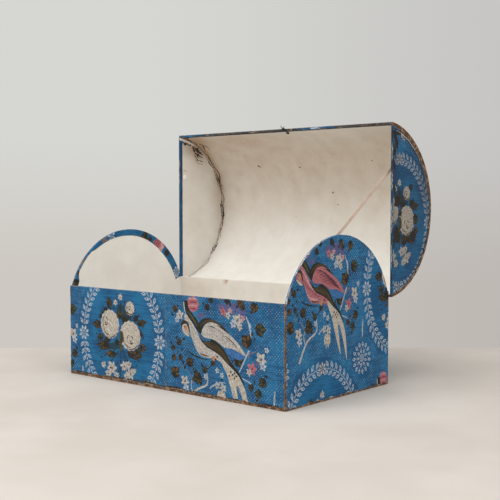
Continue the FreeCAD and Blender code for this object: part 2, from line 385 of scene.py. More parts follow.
def bouquet():
    """Two roses, a bud and their leaves over a sprig of small white flowers."""
    art = []
    for x, y, wide, high in (
        (1, 36, 9, 11),
        (-16, -14, 20, 5),
        (14, 30, 10, 6),
        (28, -16, 14, 6),
        (-34, 31, 7, 6),
    ):
        art.append(("teal", blob(x, y, wide, high, 5, 9, 0.14)))
    for dab in range(66):
        x, y = spoke(22 + 0.48 * dab, 137.5 * dab)
        ink = ("olive", "teal", "brown")[dab % 3]
        art.append((ink, blob(0.95 * x, 0.86 * y, 1.2 + 0.1 * (dab % 7), 1.1, 50 * dab, 3, 0.2, 8)))
    for points in (
        [(0, -12), (1, -36), (-1, -64)],
        [(-4, -20), (-16, -32), (-24, -40)],
        [(4, -16), (12, -32), (14, -40)],
        [(2, 30), (0, 44), (0, 54)],
        [(14, 22), (18, 34)],
    ):
        art.append(("olive", stroke(points, [1.8, 1.1])))
    for x, y, wide, high, angle, patch in (
        (-47, 14, 10, 8, 175, "umber"),
        (-24, 46, 7, 10, 10, "umber"),
        (-31, 36, 5, 5, 60, "olive"),
        (41, 23, 11, 6, 12, "umber"),
        (31, 28, 7, 5, 40, "olive"),
        (-33, -15, 15, 8, 176, "umber"),
        (-17, -25, 13, 6, 184, "umber"),
        (-26, -5, 8, 6, 200, "brown"),
        (25, -22, 17, 7, -6, "umber"),
        (44, -10, 7, 7, -20, "rust"),
        (36, -17, 7, 5, -30, "umber"),
        (-7, -8, 5, 6, 80, "olive"),
        (-40, 26, 4, 4, 120, "olive"),
        (-2, 30, 7, 9, 95, "moss"),
        (38, 8, 6, 9, 60, "olive"),
        (-42, -4, 6, 8, 110, "moss"),
        (8, 24, 7, 7, 30, "olive"),
    ):
        art += moved(moved(ivy_leaf(10, patch), 0, 0, 0, (wide / 10, high / 10)), x, y, angle)
    art.append(("rust", blob(-25, -25, 4, 2.4, 10, 3, 0.2)))
    art += moved(rose(19, 20, (-0.42, 0.16)), -22, 17)
    art += moved(rose(20.5, 20.5, (0.1, -0.3)), 19.5, 4)
    art += moved(rose(8.6, 9.4, (-0.1, 0.0)), 19.5, 42)
    art.append(("rust", blob(14, 35, 2.6, 2.0, 30, 3, 0.2)))
    stem_leaf = [
        ("moss", blob(0, 0, 4.6, 9.5, 0, 3, 0.08)),
        ("olive", stroke([(0, -8), (1, 8)], [1.2, 0.6])),
    ]
    art += moved(stem_leaf, 2, 0)
    art.append(("moss", blob(1, -14, 3, 6, 8, 3, 0.1)))
    for x, y, radius in (
        (0, 56, 5), (-10, 48, 4.5), (-36, -42, 5), (-18, -45, 10), (-8, -55, 6), (8, -40, 8),
        (17, -37, 6), (20, -49, 8), (12, -54, 6), (-26, -54, 6), (28, -44, 4),
    ):
        art += moved(blossom(radius, petals=6), x, y, 11 * x)
    for x, y in (
        (-40, -32), (-44, -24), (33, -36), (37, -29), (-50, 1), (-46, -5), (46, 4), (44, 8),
        (-6, -36), (14, -31), (-21, -45), (10, -46), (22, -40), (-3, -48), (-44, 26), (-36, 40),
        (9, 50), (30, 40), (38, 34), (-13, 40),
    ):
        art.append(("olive", blob(x, y, 1.7, 1.2, 8 * x, 3, 0.2, 9)))
    return art


def bird(plumage, shade, soft):
    """A long-tailed bird on a bough, its wing raised."""
    art = [
        (plumage, rounded([
            (-53, 43), (-47, 39), (-41, 33), (-30, 20), (-20, 10), (-4, 6), (10, 0), (20, -8),
            (27, -18), (21, -24), (14, -17), (4, -12), (-11, -11), (-26, -9), (-35, 1), (-42, 14),
            (-55, 19), (-58, 25), (-54, 33),
        ], 3)),
        ("cream", rounded([
            (12, -8), (22, -10), (33, -21), (43, -33), (51, -46), (56, -64), (58, -90), (54, -78),
            (49, -64), (41, -44), (36, -42), (39, -58), (43, -80), (38, -72), (31, -56), (24, -38),
            (20, -28), (13, -17),
        ], 3)),
        ("petal", stroke([(22, -20), (33, -36), (44, -52)], [0.4, 1.2, 0.3])),
        ("petal", stroke([(28, -44), (34, -58), (40, -74)], [0.5, 1.6, 0.4])),
        ("azure", rounded([(18, 5), (34, 2), (50, -3), (42, -8), (28, -6), (20, -1)])),
        (plumage, rounded([
            (-24, 19), (-21, 28), (-11, 34.5), (3.5, 34), (16, 30), (26, 21.5), (38.5, 13), (52, -2),
            (41, 1), (28.5, 4.5), (16, 5), (6, 10), (-4, 13.5), (-16, 14),
        ], 3)),
    ]
    for feather in range(8):
        low = 2.2 * feather
        points = [
            (-16 + 2.4 * feather, 30 - low),
            (4 + 3.2 * feather, 27 - 1.15 * low),
            (22 + 3.2 * feather, 17 - 1.05 * low),
        ]
        art.append((shade, stroke(points, [0.4, 1.2, 0.4])))
    for points in (
        [(-48, 34), (-38, 24), (-29, 13), (-20, 6)],
        [(-39, 9), (-30, -2), (-16, -6), (2, -6)],
    ):
        art.append((soft, stroke(points, [0.6, 3.2, 0.8])))
    for points in (
        [(-12, 30), (-5, 29.5), (1, 27.5)],
        [(4, 31.5), (12, 29), (20, 24)],
        [(18, 20), (28, 14), (38, 6)],
    ):
        art.append(("brown", stroke(points, [0.5, 1.5, 0.5])))
    for i in range(5):
        points = [(-44 + 8 * i, 22 - 7 * i), (-38 + 8 * i, 14 - 5 * i), (-30 + 9 * i, 7 - 3.4 * i)]
        art.append((shade, stroke(points, [0.3, 0.8, 0.3])))
    art += [
        ("olive", rounded([
            (-30, 19), (-21, 10.5), (-11, 10), (-3, 13), (6, 9), (16, 1.5), (26, -11), (41, -25),
            (51, -40), (38, -27), (28, -20), (18, -13), (8, -6), (-4, -1), (-15, 3), (-24, 10),
        ], 3)),
        ("umber", stroke([(-20, 8), (-8, 6), (4, 2), (14, -5), (24, -15)], [1.5, 6.5, 8, 6, 1.5])),
        ("brown", stroke([(-10, 8), (0, 6), (10, 0)], [0.5, 2, 0.5])),
        ("brown", stroke([(-2, 1), (9, -3), (19, -11)], [0.5, 1.8, 0.5])),
        ("olive", rounded([
            (-31, 29), (-27, 33), (-21, 38), (-11, 40), (-1, 38), (9, 34), (18, 28.5), (27, 21),
            (16, 27), (4, 33.5), (-8, 35), (-17, 31), (-22, 24), (-24, 19), (-29, 21),
        ], 3)),
        ("olive", stroke([(-51, 60), (-49, 49), (-43, 41), (-35, 34), (-28, 24)], [6, 7, 9, 9, 6])),
        ("moss", stroke([(-48, 46), (-39, 38), (-31, 28)], [1.5, 4.5, 2])),
        ("umber", stroke([(-26, 28), (-17, 35), (-6, 37), (6, 34.5), (15, 30)], [1, 3, 3, 2.4, 0.8])),
        ("cream", stroke([(-55, 58), (-54, 50), (-52, 44)], [1.4, 1.8, 0.8])),
        ("brown", rounded([
            (-60, 24), (-59, 31), (-54, 34), (-47, 31), (-44, 22), (-43, 14), (-46, 21), (-50, 29),
            (-56, 28),
        ])),
        ("peach", blob(-51.5, 24.5, 3.2, 3.6, 30, 3, 0.1)),
        ("brown", blob(-53, 25.5, 1.1, 1.1, count=8)),
        ("cream", rounded([(-58, 21), (-52, 19), (-45, 14), (-50, 14), (-56, 18)])),
        ("olive", stroke([(-47, -6), (-38, -10), (-24, -13), (-10, -14)], [1.8, 2.2, 0.8])),
        ("rust", stroke([(-26, -7.5), (-18, -8.5), (-10, -9)], [1, 2.6, 1])),
        ("peach", blob(-2, -11, 4.5, 3, 0, 4, 0.14)),
    ]
    for x, y in ((30, -28), (33, -32), (36, -29), (27, -25), (33, -26), (4, -8), (1, -12), (24, -30)):
        art.append(("brown", blob(x, y, 1.7, 1.2, 40 * x, 3, 0.2, 9)))
    return art


def bough():
    """Branches, dark leaves and flowers round the bird."""
    art = []
    for x, y, wide, high in ((30, 57, 16, 5), (45, 52, 7, 9), (-24, 42, 7, 4), (14, 56, 8, 4)):
        art.append(("violet", blob(x, y, wide, high, 8, 8, 0.16)))
    for points, widths, ink in (
        ([(52, 47), (58, 34), (60, 22)], [1, 2.6, 1.8], "garland"),
        ([(58, 40), (60, 34)], [0.8, 1.6], "garland"),
        ([(57, 5), (48, -11), (41, -24)], [2.4, 1.6], "garland"),
        ([(66, 4), (58, 1), (56, -4)], [0.6, 1.4], "pink"),
        ([(-64, -25), (-49, -32), (-39, -44), (-38, -56)], [0.8, 2.4, 1.6], "slate"),
        ([(-14, -31), (-14, -46), (-35, -57), (-52, -82)], [1.2, 2.2, 3.2, 3.6], "white"),
        ([(-38, -38), (-42, -50), (-38, -62)], [0.8, 1.6], "garland"),
        ([(-9, -50), (4, -42), (18, -40)], [2, 0.9], "garland"),
        ([(42, -30), (56, -34), (66, -40)], [1.6, 0.8], "garland"),
        ([(0, -13), (-6, -20), (-16, -28)], [1.2, 2, 1], "olive"),
        ([(66, -18), (74, -2), (72, 14)], [1.2, 0.8], "slate"),
        ([(98, -40), (97, -52), (97, -64)], [1.0, 3.0, 1.6], "garland"),
    ):
        art.append((ink, stroke(points, widths)))
    draw = random.Random(12)
    for x, y, radius in (
        (-71, 47, 6), (-14, 53, 6), (-6, 63, 5), (66, 60, 8), (73, 32, 10), (54, 15, 11), (-64, 4, 6),
        (-74, -4, 5), (-73, -16, 6), (-61, -15, 5), (-45, -21, 8), (-72, -37, 10), (-29, -39, 10),
        (-18, -28, 6), (80, -32, 8), (61, -41, 6), (73, -47, 7), (38, -10, 9), (-4, -17, 5),
        (20, 65, 6), (43, 64, 7), (47, 57, 5), (-33, -32, 5), (28, -3, 5),
    ):
        patch = draw.choice(("umber", "umber", "brown", "rust", "moss"))
        angle = draw.uniform(0, 360)
        art += moved(ivy_leaf(radius, patch), x, y, angle, (draw.uniform(0.85, 1.05), 1.0))
    for x, y in (
        (-66, -9), (-55, 9), (-58, -5), (-68, 10), (66, 20), (48, -3), (-22, -22), (-53, -28),
        (30, -12), (34, 4), (-78, 2), (-56, -22), (-38, -28), (66, -33), (84, -24), (70, -55),
        (62, 26), (47, 22), (60, 52), (-20, 58), (-76, 40), (-66, 52), (26, 60), (37, 58),
        (-24, -46), (12, -36),
    ):
        art.append(("olive", blob(x, y, draw.uniform(1.6, 3.0), 1.7, draw.uniform(0, 180), 3, 0.2, 9)))
    for x, y, radius, ink in (
        (38, 41, 9, "white"), (31, 36, 6, "garland"), (42, 33, 5, "white"), (14, 50, 6, "pink"),
        (22, 46, 5, "white"), (76, -4, 9, "white"), (79, -12, 6, "garland"), (62, -17, 8, "pink"),
        (57, -22, 5, "white"), (-62, 40, 7, "white"), (-67, 34, 5, "garland"), (-55, 36, 4, "azure"),
        (-53, -46, 8, "white"), (-51, -55, 6, "garland"), (4, -45, 5, "white"), (14, -47, 6, "white"),
        (-16, -36, 4, "garland"), (4, -26, 4, "garland"), (12, -31, 4, "garland"),
        (85, 8, 4, "garland"), (26, 52, 4, "blush"), (33, 50, 4, "violet"), (8, 56, 4, "violet"),
        (47, 44, 4, "blush"), (70, -10, 4, "violet"),
    ):
        art += moved(blossom(radius, ink, "rose" if ink == "pink" else "line"), x, y, draw.uniform(0, 72))
    for sway in (-6, -2, 2, 6):
        art.append(("cream", leaf(11 + 0.6 * sway, -50, 270 + 1.6 * sway, 22 - abs(sway), 4.6)))
    for x, y in ((9, -54), (13, -60), (10, -65), (14, -52), (7, -59)):
        art.append(("umber", blob(x, y, 1.3, 0.9, 70, count=7)))
    art.append(("pink", blob(-39, 56, 11, 10, 0, 9, 0.08)))
    for i in range(4):
        ink = "blush" if i % 2 else "rose"
        y = 49 + 4.4 * i
        points = [(-48 + i % 2, y), (-39, y + 1.2), (-30 - i % 2, y + 0.4)]
        art.append((ink, stroke(points, [0.6, 2.0, 0.6])))
    return art


def medallion():
    return garland() + bouquet()


def white_bird():
    return bough() + bird("white", "petal", "petal")


def pink_bird():
    return bough() + bird("pink", "wine", "blush")


def printed(cells, size=(1.0, 1.0)):
    """The print on a sheet: rosettes, then each cell of the repeat; size stretches the birds."""
    art = []
    for _, u, v in cells:
        for x in (-COLUMN / 2, COLUMN / 2):
            for y in (-DROP / 2, DROP / 2):
                art += moved(rosette(), u + x, v + y)
    for motif, u, v in cells:
        art += moved(motif(), u, v, 0, (1.0, 1.0) if motif is medallion else size)
    return art


def repeat(u, v, low, high, birds=(white_bird, pink_bird)):
    """Cells of the repeat that reach a sheet, from the middle of one rose medallion."""
    cells = []
    for column in range(math.floor((low[0] - u) / COLUMN), math.ceil((high[0] - u) / COLUMN) + 1):
        for row in range(math.floor((low[1] - v) / DROP), math.ceil((high[1] - v) / DROP) + 1):
            motif = birds[column % len(birds)] if (column + row) % 2 else medallion
            cells.append((motif, u + column * COLUMN, v + row * DROP))
    return cells


# Sheets of paper: cut, folded over the boards, and given thickness.
class Fold:
    """A section that a sheet follows: runs with rounded corners, measured along its length.

    The sheet's outer side is to the right of the way it runs.
    """

    def __init__(self, corners, radius=FOLD_R, steps=4, soft=12.0):
        corners = [np.array(c, float) for c in corners]
        line = [corners[0]]
        marks = []
        for before, at, after in zip(corners, corners[1:], corners[2:]):
            back = (before - at) / np.linalg.norm(before - at)
            ahead = (after - at) / np.linalg.norm(after - at)
            turn = math.pi - math.acos(np.clip(back @ ahead, -1, 1))
            if math.degrees(turn) < soft:
                line.append(at)
                continue
            reach = radius * math.tan(turn / 2)
            for t in np.linspace(0, 1, steps + 1):
                marks.append(len(line))
                line.append(at + (1 - t) ** 2 * reach * back + t ** 2 * reach * ahead)
        line.append(corners[-1])
        self.line = np.array(line)
        runs = np.diff(self.line, axis=0)
        lengths = np.linalg.norm(runs, axis=1)
        self.reach = np.concatenate([[0], np.cumsum(lengths)])
        self.length = self.reach[-1]
        sides = np.stack([runs[:, 1], -runs[:, 0]], 1) / lengths[:, None]
        self.sides = np.concatenate([sides[:1], (sides[1:] + sides[:-1]) / 2, sides[-1:]])
        self.creases = [self.reach[m] for m in marks]

    def at(self, along):
        """Places and outward directions at distances along the section."""
        place = [np.interp(along, self.reach, self.line[:, k]) for k in (0, 1)]
        side = [np.interp(along, self.reach, self.sides[:, k]) for k in (0, 1)]
        size = np.hypot(*side)
        return place[0], place[1], side[0] / size, side[1] / size


def arc(radius, start, end, centre=(0.0, 0.0), step=4.0):
    """Points of an arc, in degrees from the first axis."""
    count = max(2, math.ceil(abs(end - start) / step)) + 1
    angles = np.radians(np.linspace(start, end, count))
    return [(centre[0] + radius * math.cos(a), centre[1] + radius * math.sin(a)) for a in angles]


def worn_outline(corners, wear, seed, step=2.5):
    """An anticlockwise outline, cut back from each edge by its wear: how far, and how unevenly."""
    slight_turn = 0.3
    corners = np.array(corners, float)
    runs = np.roll(corners, -1, 0) - corners
    lengths = np.linalg.norm(runs, axis=1)
    ways = runs / lengths[:, None]
    inward = np.stack([-ways[:, 1], ways[:, 0]], 1)
    if len(wear) == 1:
        wear = list(wear) * len(corners)
    count = len(corners)
    cut = []
    sharp = []
    for i in range(count):
        turn = ways[i - 1][0] * ways[i][1] - ways[i - 1][1] * ways[i][0]
        sharp.append(abs(turn) > slight_turn)
        first = corners[i] + inward[i - 1] * wear[i - 1][0]
        second = corners[i] + inward[i] * wear[i][0]
        if abs(turn) < slight_turn:
            cut.append((first + second) / 2)
        else:
            gap = second - first
            cut.append(first + ways[i - 1] * (gap[0] * ways[i][1] - gap[1] * ways[i][0]) / turn)
    outline = []
    for i in range(count):
        start, end = cut[i], cut[(i + 1) % count]
        length = np.linalg.norm(end - start)
        parts = max(1, int(length / step))
        for k in range(parts):
            at = start + (end - start) * k / parts
            ease = 1.0
            if sharp[i]:
                ease = min(ease, k / 2)
            if sharp[(i + 1) % count]:
                ease = min(ease, (parts - k) / 2)
            broad = noise.noise((at[0] * 0.11, at[1] * 0.11, seed))
            fine = noise.noise((at[0] * 0.5, at[1] * 0.5, seed + 9.1))
            outline.append(at + inward[i] * wear[i][1] * (broad + 0.5 * fine) * ease)
    return np.array(outline)


def oblong(low_u, low_v, high_u, high_v):
    """Corners of an oblong, anticlockwise from its lowest."""
    return [(low_u, low_v), (high_u, low_v), (high_u, high_v), (low_u, high_v)]


def lapped_corners(x0, x1, low, step, top, inside):
    """Corners of a sheet that laps over a rim, stepped in where an end board stands in its way."""
    corners = [(x0, low), (x1, low)]
    if x1 < inside:
        corners.append((x1, top))
    else:
        corners += [(x1, step), (inside, step), (inside, top)]
    if x0 > -inside:
        corners.append((x0, top))
    else:
        corners += [(-inside, top), (-inside, step), (x0, step)]
    return corners


def anticlockwise(outline):
    x, y = outline[:, 0], outline[:, 1]
    area = np.sum(x * np.roll(y, -1) - np.roll(x, -1) * y)
    return outline if area > 0 else outline[::-1]


def hand_cut(outline):
    """An outline as a printing block has it, never quite true."""
    shift = []
    for p in outline:
        shift.append([noise.noise((p[0] * 0.4, p[1] * 0.4, layer)) for layer in (3.3, 8.8)])
    return outline + BLOCK_WOBBLE * np.array(shift)


def nearest(points, samples):
    """Distance from each point to the nearest of the samples."""
    tree = KDTree(len(samples))
    for i, p in enumerate(samples):
        tree.insert((p[0], p[1], 0), i)
    tree.balance()
    return np.array([tree.find((p[0], p[1], 0))[2] for p in points])


def cut_sheet(outline, art, lines, paper, cell):
    """A flat sheet cut into triangles along its print and bends: its points, triangles and inks."""
    low, high = outline.min(0), outline.max(0)
    points = [tuple(p) for p in outline]
    faces = [list(range(len(points)))]
    inks = [paper]
    for ink, shape in art:
        if (shape.max(0) < low).any() or (shape.min(0) > high).any():
            continue
        faces.append(list(range(len(points), len(points) + len(shape))))
        points += [tuple(p) for p in hand_cut(anticlockwise(shape))]
        inks.append(ink)
    edges = []
    for line in lines:
        edges += [(len(points) + i, len(points) + i + 1) for i in range(len(line) - 1)]
        points += [tuple(p) for p in line]
    across = np.arange(low[0] + cell / 2, high[0], cell)
    along = np.arange(low[1] + cell / 2, high[1], cell)
    grid = np.stack(np.meshgrid(across, along), -1).reshape(-1, 2)
    if len(grid):
        points += [tuple(p) for p in grid[nearest(grid, outline) > cell / 4]]
    found = delaunay_2d_cdt([Vector(p) for p in points], edges, faces, 0, 1e-3)
    flat, _, cuts, _, _, owners = found
    flat = np.array(flat)
    # Outline 0 is the sheet's own, and of the outlines over a triangle the last one printed shows.
    kept = [(cut, max(owner)) for cut, owner in zip(cuts, owners) if 0 in owner]
    triangles = np.array([cut for cut, _ in kept])
    used = np.unique(triangles)
    order = np.full(len(flat), -1)
    order[used] = np.arange(len(used))
    return flat[used], order[triangles], [inks[last] for _, last in kept]


def closed_faces(triangles, count):
    """Faces of a sheet's front and back, and of the edge that joins them."""
    loose = {}
    for t in triangles:
        for i, j in ((t[0], t[1]), (t[1], t[2]), (t[2], t[0])):
            if (j, i) in loose:
                del loose[(j, i)]
            else:
                loose[(i, j)] = True
    faces = [tuple(t) for t in triangles]
    faces += [(t[2] + count, t[1] + count, t[0] + count) for t in triangles]
    faces += [(j, i, i + count, j + count) for i, j in loose]
    return faces


def new_piece(name, corners, faces, sharp=35):
    """A piece of the scene, smooth apart from its edges sharper than an angle in degrees."""
    mesh = bpy.data.meshes.new(name)
    mesh.from_pydata(corners, [], faces)
    mesh.shade_smooth()
    mesh.set_sharp_from_angle(angle=math.radians(sharp))
    piece = bpy.data.objects.new(name, mesh)
    bpy.context.scene.collection.objects.link(piece)
    return piece


def add_values(piece, name, kind, domain, field, values):
    layer = piece.data.attributes.new(name, kind, domain)
    layer.data.foreach_set(field, np.ascontiguousarray(values, dtype=np.float32).ravel())


def make_sheet(name, outline, place, art=(), lines=(), creases=(), paper="ground", cell=8.0,
               thick=PRINT_THICK, cockle=0.0, spots=(), seed=1.0):
    """A closed thin sheet: its print cut into it as faces, bent by place, with a back and edges.

    lines are cut into the sheet where it bends, and creases are the ones that get rubbed.
    """
    flat, triangles, inks = cut_sheet(outline, art, [*lines, *creases], paper, cell)
    count = len(flat)
    spot, side = place(flat[:, 0], flat[:, 1])
    lift = np.array([noise.noise((p[0] * 0.021, p[1] * 0.021, seed)) for p in flat])
    spot = spot + side * (cockle * (1 + lift))[:, None]
    a, b, c = (spot[triangles[:, k]] for k in (0, 1, 2))
    if np.sum(np.cross(b - a, c - a) * side[triangles[:, 0]]) < 0:
        triangles = triangles[:, ::-1]
    faces = closed_faces(triangles, count)
    corners = np.concatenate([spot + side * thick, spot]) * MM
    piece = new_piece(name, corners.tolist(), faces)

    back = "stock" if paper == "ground" else paper
    inks += [back] * (len(faces) - len(inks))
    colours = {ink: [*linear(*INKS[ink]), 0.0 if ink in BARE else 1.0] for ink in INKS}
    rims = list(outline) + list((outline + np.roll(outline, -1, 0)) / 2)
    rub = nearest(flat, rims)
    if creases:
        folds = []
        for line in creases:
            line = np.array(line)
            for t in (0, 0.25, 0.5, 0.75):
                folds += list(line[:-1] * (1 - t) + line[1:] * t)
        rub = np.minimum(rub, nearest(flat, folds) + 0.5)
    stain_and_shade = np.zeros(count)
    for u, v, wide, tall, strength in spots:
        stain_and_shade += strength * np.exp(-((flat[:, 0] - u) / wide) ** 2 - ((flat[:, 1] - v) / tall) ** 2)
    on_sheet = np.concatenate([flat, np.full((count, 1), seed)], 1)
    add_values(piece, "ink", "FLOAT_COLOR", "FACE", "color", [colours[ink] for ink in inks])
    add_values(piece, "dots", "FLOAT", "FACE", "value", [ink == "ground" for ink in inks])
    add_values(piece, "flat", "FLOAT_VECTOR", "POINT", "vector", np.concatenate([on_sheet, on_sheet]))
    add_values(piece, "edge", "FLOAT", "POINT", "value", np.concatenate([rub, rub]))
    add_values(piece, "stain_and_shade", "FLOAT", "POINT", "value", np.concatenate([stain_and_shade, stain_and_shade]))
    return piece


def lying_at(height, face):
    """Places a sheet that lies flat at a height; face is 1 for upward and -1 for downward."""

    def place(u, v):
        zero = np.zeros_like(u)
        return np.stack([u, v, zero + height], 1), np.stack([zero, zero, zero + face], 1)

    return place


def along_x(fold, face):
    """Places a sheet with u along x and v along a section, whose way out in y is face."""

    def place(u, v):
        out, up, side_out, side_up = fold.at(v)
        return (np.stack([u, face * out, up], 1),
                np.stack([np.zeros_like(u), face * side_out, side_up], 1))

    return place


def on_end(fold, side):
    """Places a sheet on an end of the base, over its arch; u runs to the right as seen from outside."""

    def place(u, v):
        rise = v - ARCH_Z
        reach = np.hypot(u, rise)
        x, to, side_x, side_to = fold.at(reach)
        low = v < WALL_TOP + 0.1
        scale = np.where(low, 1.0, to / np.maximum(reach, 1e-6))
        x = np.where(low, fold.line[0][0], x)
        side_x = np.where(low, np.sign(fold.sides[0][0]), side_x)
        side_to = np.where(low, 0.0, side_to)
        reach = np.maximum(reach, 1e-6)
        return (np.stack([side * x, side * u * scale, ARCH_Z + rise * scale], 1),
                np.stack([side * side_x, side * u / reach * side_to, rise / reach * side_to], 1))

    return place


def on_lid_end(fold, side):
    """Places a sheet on an end of the lid, over its straight rim; u is y as seen from outside."""

    def place(u, v):
        x, deep, side_x, side_deep = fold.at(LID_BACK - side * u)
        return (np.stack([side * x, LID_BACK - deep, v], 1),
                np.stack([side * side_x, -side_deep, np.zeros_like(u)], 1))

    return place


def level(lines_at, low, high):
    """Straight lines across a sheet, each at one v, with points along them for its cockling."""
    across = np.linspace(low, high, max(2, int((high - low) / 8)))
    return [[(u, v) for u in across] for v in lines_at]


# Shader nodes.
class Nodes:
    """Adds nodes to a tree; a socket's value is a constant or the socket that feeds it."""

    def __init__(self, tree):
        self.tree = tree

    def add(self, kind, inputs=(), **settings):
        node = self.tree.nodes.new("ShaderNode" + kind)
        for key, value in settings.items():
            setattr(node, key, value)
        for socket, value in dict(inputs).items():
            if isinstance(value, bpy.types.NodeSocket):
                self.tree.links.new(value, node.inputs[socket])
            else:
                node.inputs[socket].default_value = value
        return node

    def math(self, operation, a, b=0.0, clamp=False):
        return self.add("Math", {0: a, 1: b}, operation=operation, use_clamp=clamp).outputs[0]

    def vector(self, operation, a, b=(0.0, 0.0, 0.0)):
        return self.add("VectorMath", {0: a, 1: b}, operation=operation).outputs[0]

    def mix(self, factor, a, b, blend="MIX"):
        """Two colours mixed; their sockets go by number, because other sockets share their names."""
        node = self.add("Mix", {0: factor, 6: a, 7: b}, data_type="RGBA", blend_type=blend)
        return node.outputs[2]

    def noise(self, vector, scale, detail=3.0, rough=0.55):
        inputs = {"Vector": vector, "Scale": scale, "Detail": detail, "Roughness": rough}
        return self.add("TexNoise", inputs).outputs["Fac"]

    def ramp(self, value, low, high, to_low=0.0, to_high=1.0):
        inputs = {0: value, 1: low, 2: high, 3: to_low, 4: to_high}
        return self.add("MapRange", inputs, interpolation_type="SMOOTHSTEP").outputs[0]

    def attribute(self, name, output="Fac"):
        return self.add("Attribute", attribute_name=name).outputs[output]

    def group(self, tree, **inputs):
        return self.add("Group", inputs, node_tree=tree).outputs


def new_group(name, inputs, outputs):
    """An empty node group with its sockets, its input sockets and a way to feed its outputs."""
    tree = bpy.data.node_groups.new(name, "ShaderNodeTree")
    kinds = {"float": "NodeSocketFloat", "vector": "NodeSocketVector"}
    for socket, kind in inputs.items():
        tree.interface.new_socket(socket, in_out="INPUT", socket_type=kinds[kind])
    for socket, kind in outputs.items():
        tree.interface.new_socket(socket, in_out="OUTPUT", socket_type=kinds[kind])
    source = tree.nodes.new("NodeGroupInput").outputs
    target = tree.nodes.new("NodeGroupOutput").inputs

    def put(**values):
        for socket, value in values.items():
            tree.links.new(value, target[socket])

    return Nodes(tree), source, put


def laid_paper_group():
    """Fibres and faint laid lines: a height, and a slow change of tone."""
    net, source, put = new_group(
        "laid_paper",
        {"Flat": "vector", "Lines": "float"},
        {"Height": "float", "Tone": "float"},
    )
    fibre = net.noise(source["Flat"], 1.1, 4.0, 0.6)
    lines = net.noise(net.vector("MULTIPLY", source["Flat"], (0.03, 0.55, 1.0)), 1.0, 2.0, 0.5)
    lined = net.math("MULTIPLY", net.math("SUBTRACT", lines, 0.5), source["Lines"])
    put(
        Height=net.math("ADD", net.math("MULTIPLY", fibre, 0.8), lined),
        Tone=net.math("ADD", net.noise(source["Flat"], 0.03, 4.0), lined),
    )
    return net.tree


def pin_dots_group():
    """Rows of small printed dots, staggered, some of them missing."""
    net, source, put = new_group(
        "pin_dots",
        {"Flat": "vector", "Pitch": "float", "Size": "float"},
        {"Mask": "float"},
    )
    slant = {"Vector": source["Flat"], "Angle": math.radians(45)}
    spun = net.add("VectorRotate", slant, rotation_type="Z_AXIS")
    cell = net.vector("FRACTION", net.vector("DIVIDE", spun.outputs[0], source["Pitch"]))
    middle = net.vector("MULTIPLY", net.vector("SUBTRACT", cell, (0.5, 0.5, 0.5)), (1.0, 1.0, 0.0))
    away = net.add("VectorMath", {0: middle}, operation="LENGTH").outputs["Value"]
    soft = net.math("SUBTRACT", source["Size"], away)
    shown = net.ramp(net.noise(source["Flat"], 0.2, 4.0, 0.7), 0.4, 0.62)
    put(Mask=net.math("MULTIPLY", net.ramp(soft, 0.0, 0.08), shown))
    return net.tree


def dry_print_group():
    """Thins a printed colour in specks, as distemper does when it dries and rubs."""
    net, source, put = new_group("dry_print", {"Flat": "vector", "Cover": "float"}, {"Cover": "float"})
    specks = net.ramp(net.noise(source["Flat"], 0.8, 3.0, 0.65), 0.54, 0.68)
    patches = net.ramp(net.noise(source["Flat"], 0.06, 2.0), 0.4, 0.7)
    loss = net.math("MULTIPLY", specks, net.math("ADD", net.math("MULTIPLY", patches, 0.45), 0.22))
    put(Cover=net.math("MULTIPLY", source["Cover"], net.math("SUBTRACT", 1.0, loss)))
    return net.tree


def rubbed_edge_group():
    """Where a sheet's edges and folds are rubbed through, unevenly, as far in as Reach."""
    net, source, put = new_group(
        "rubbed_edge",
        {"Flat": "vector", "Edge": "float", "Reach": "float"},
        {"Mask": "float"},
    )
    uneven = net.ramp(net.noise(source["Flat"], 0.16, 4.0, 0.7), 0.38, 0.72)
    reach = net.math("MULTIPLY", net.math("MULTIPLY", uneven, 2.2), source["Reach"])
    put(Mask=net.ramp(net.math("SUBTRACT", reach, source["Edge"]), 0.0, 0.7))
    return net.tree


def stain_and_shade_breakup_group():
    """Breaks up the edges of stains and of painted shade, and adds a light general grubbiness."""
    net, source, put = new_group("stain_and_shade_breakup", {"Flat": "vector", "Amount": "float"}, {"Mask": "float"})
    cloud = net.noise(source["Flat"], 0.045, 4.0, 0.6)
    fine = net.noise(source["Flat"], 0.4, 3.0, 0.6)
    uneven = net.math("ADD", net.math("MULTIPLY", cloud, 0.6), net.math("MULTIPLY", fine, 0.3))
    uneven = net.math("ADD", uneven, 0.35)
    grime = net.math("MULTIPLY", net.ramp(cloud, 0.5, 0.8), 0.07)
    put(Mask=net.math("ADD", net.math("MULTIPLY", source["Amount"], uneven), grime, clamp=True))
    return net.tree


def weave_group():
    """Crossed threads: a height and a tone, Count threads to each unit of the vector."""
    net, source, put = new_group(
        "weave",
        {"Vector": "vector", "Count": "float"},
        {"Height": "float", "Tone": "float"},
    )
    threads = net.vector("MULTIPLY", source["Vector"], (math.tau, math.tau, math.tau))
    split = net.add("SeparateXYZ", {0: threads})
    waves = []
    for axis in ("X", "Y"):
        waves.append(net.math("SINE", net.math("MULTIPLY", split.outputs[axis], source["Count"])))
    slub = net.noise(net.vector("MULTIPLY", source["Vector"], (1.0, 8.0, 1.0)), 1.0, 3.0, 0.6)
    cross = net.math("ADD", net.math("MULTIPLY", net.math("MULTIPLY", *waves), 0.25), 0.5)
    tone = net.math("ADD", net.math("MULTIPLY", slub, 0.7), net.math("MULTIPLY", cross, 0.3))
    put(Height=cross, Tone=tone)
    return net.tree


LAID_PAPER = laid_paper_group()
PIN_DOTS = pin_dots_group()
DRY_PRINT = dry_print_group()
RUBBED_EDGE = rubbed_edge_group()
STAIN_AND_SHADE_BREAKUP = stain_and_shade_breakup_group()
WEAVE = weave_group()


def new_material(name):
    """An empty material: its nodes, its surface shader and itself."""
    material = bpy.data.materials.new(name)
    material.use_nodes = True
    net = Nodes(material.node_tree)
    return net, material.node_tree.nodes["Principled BSDF"], material


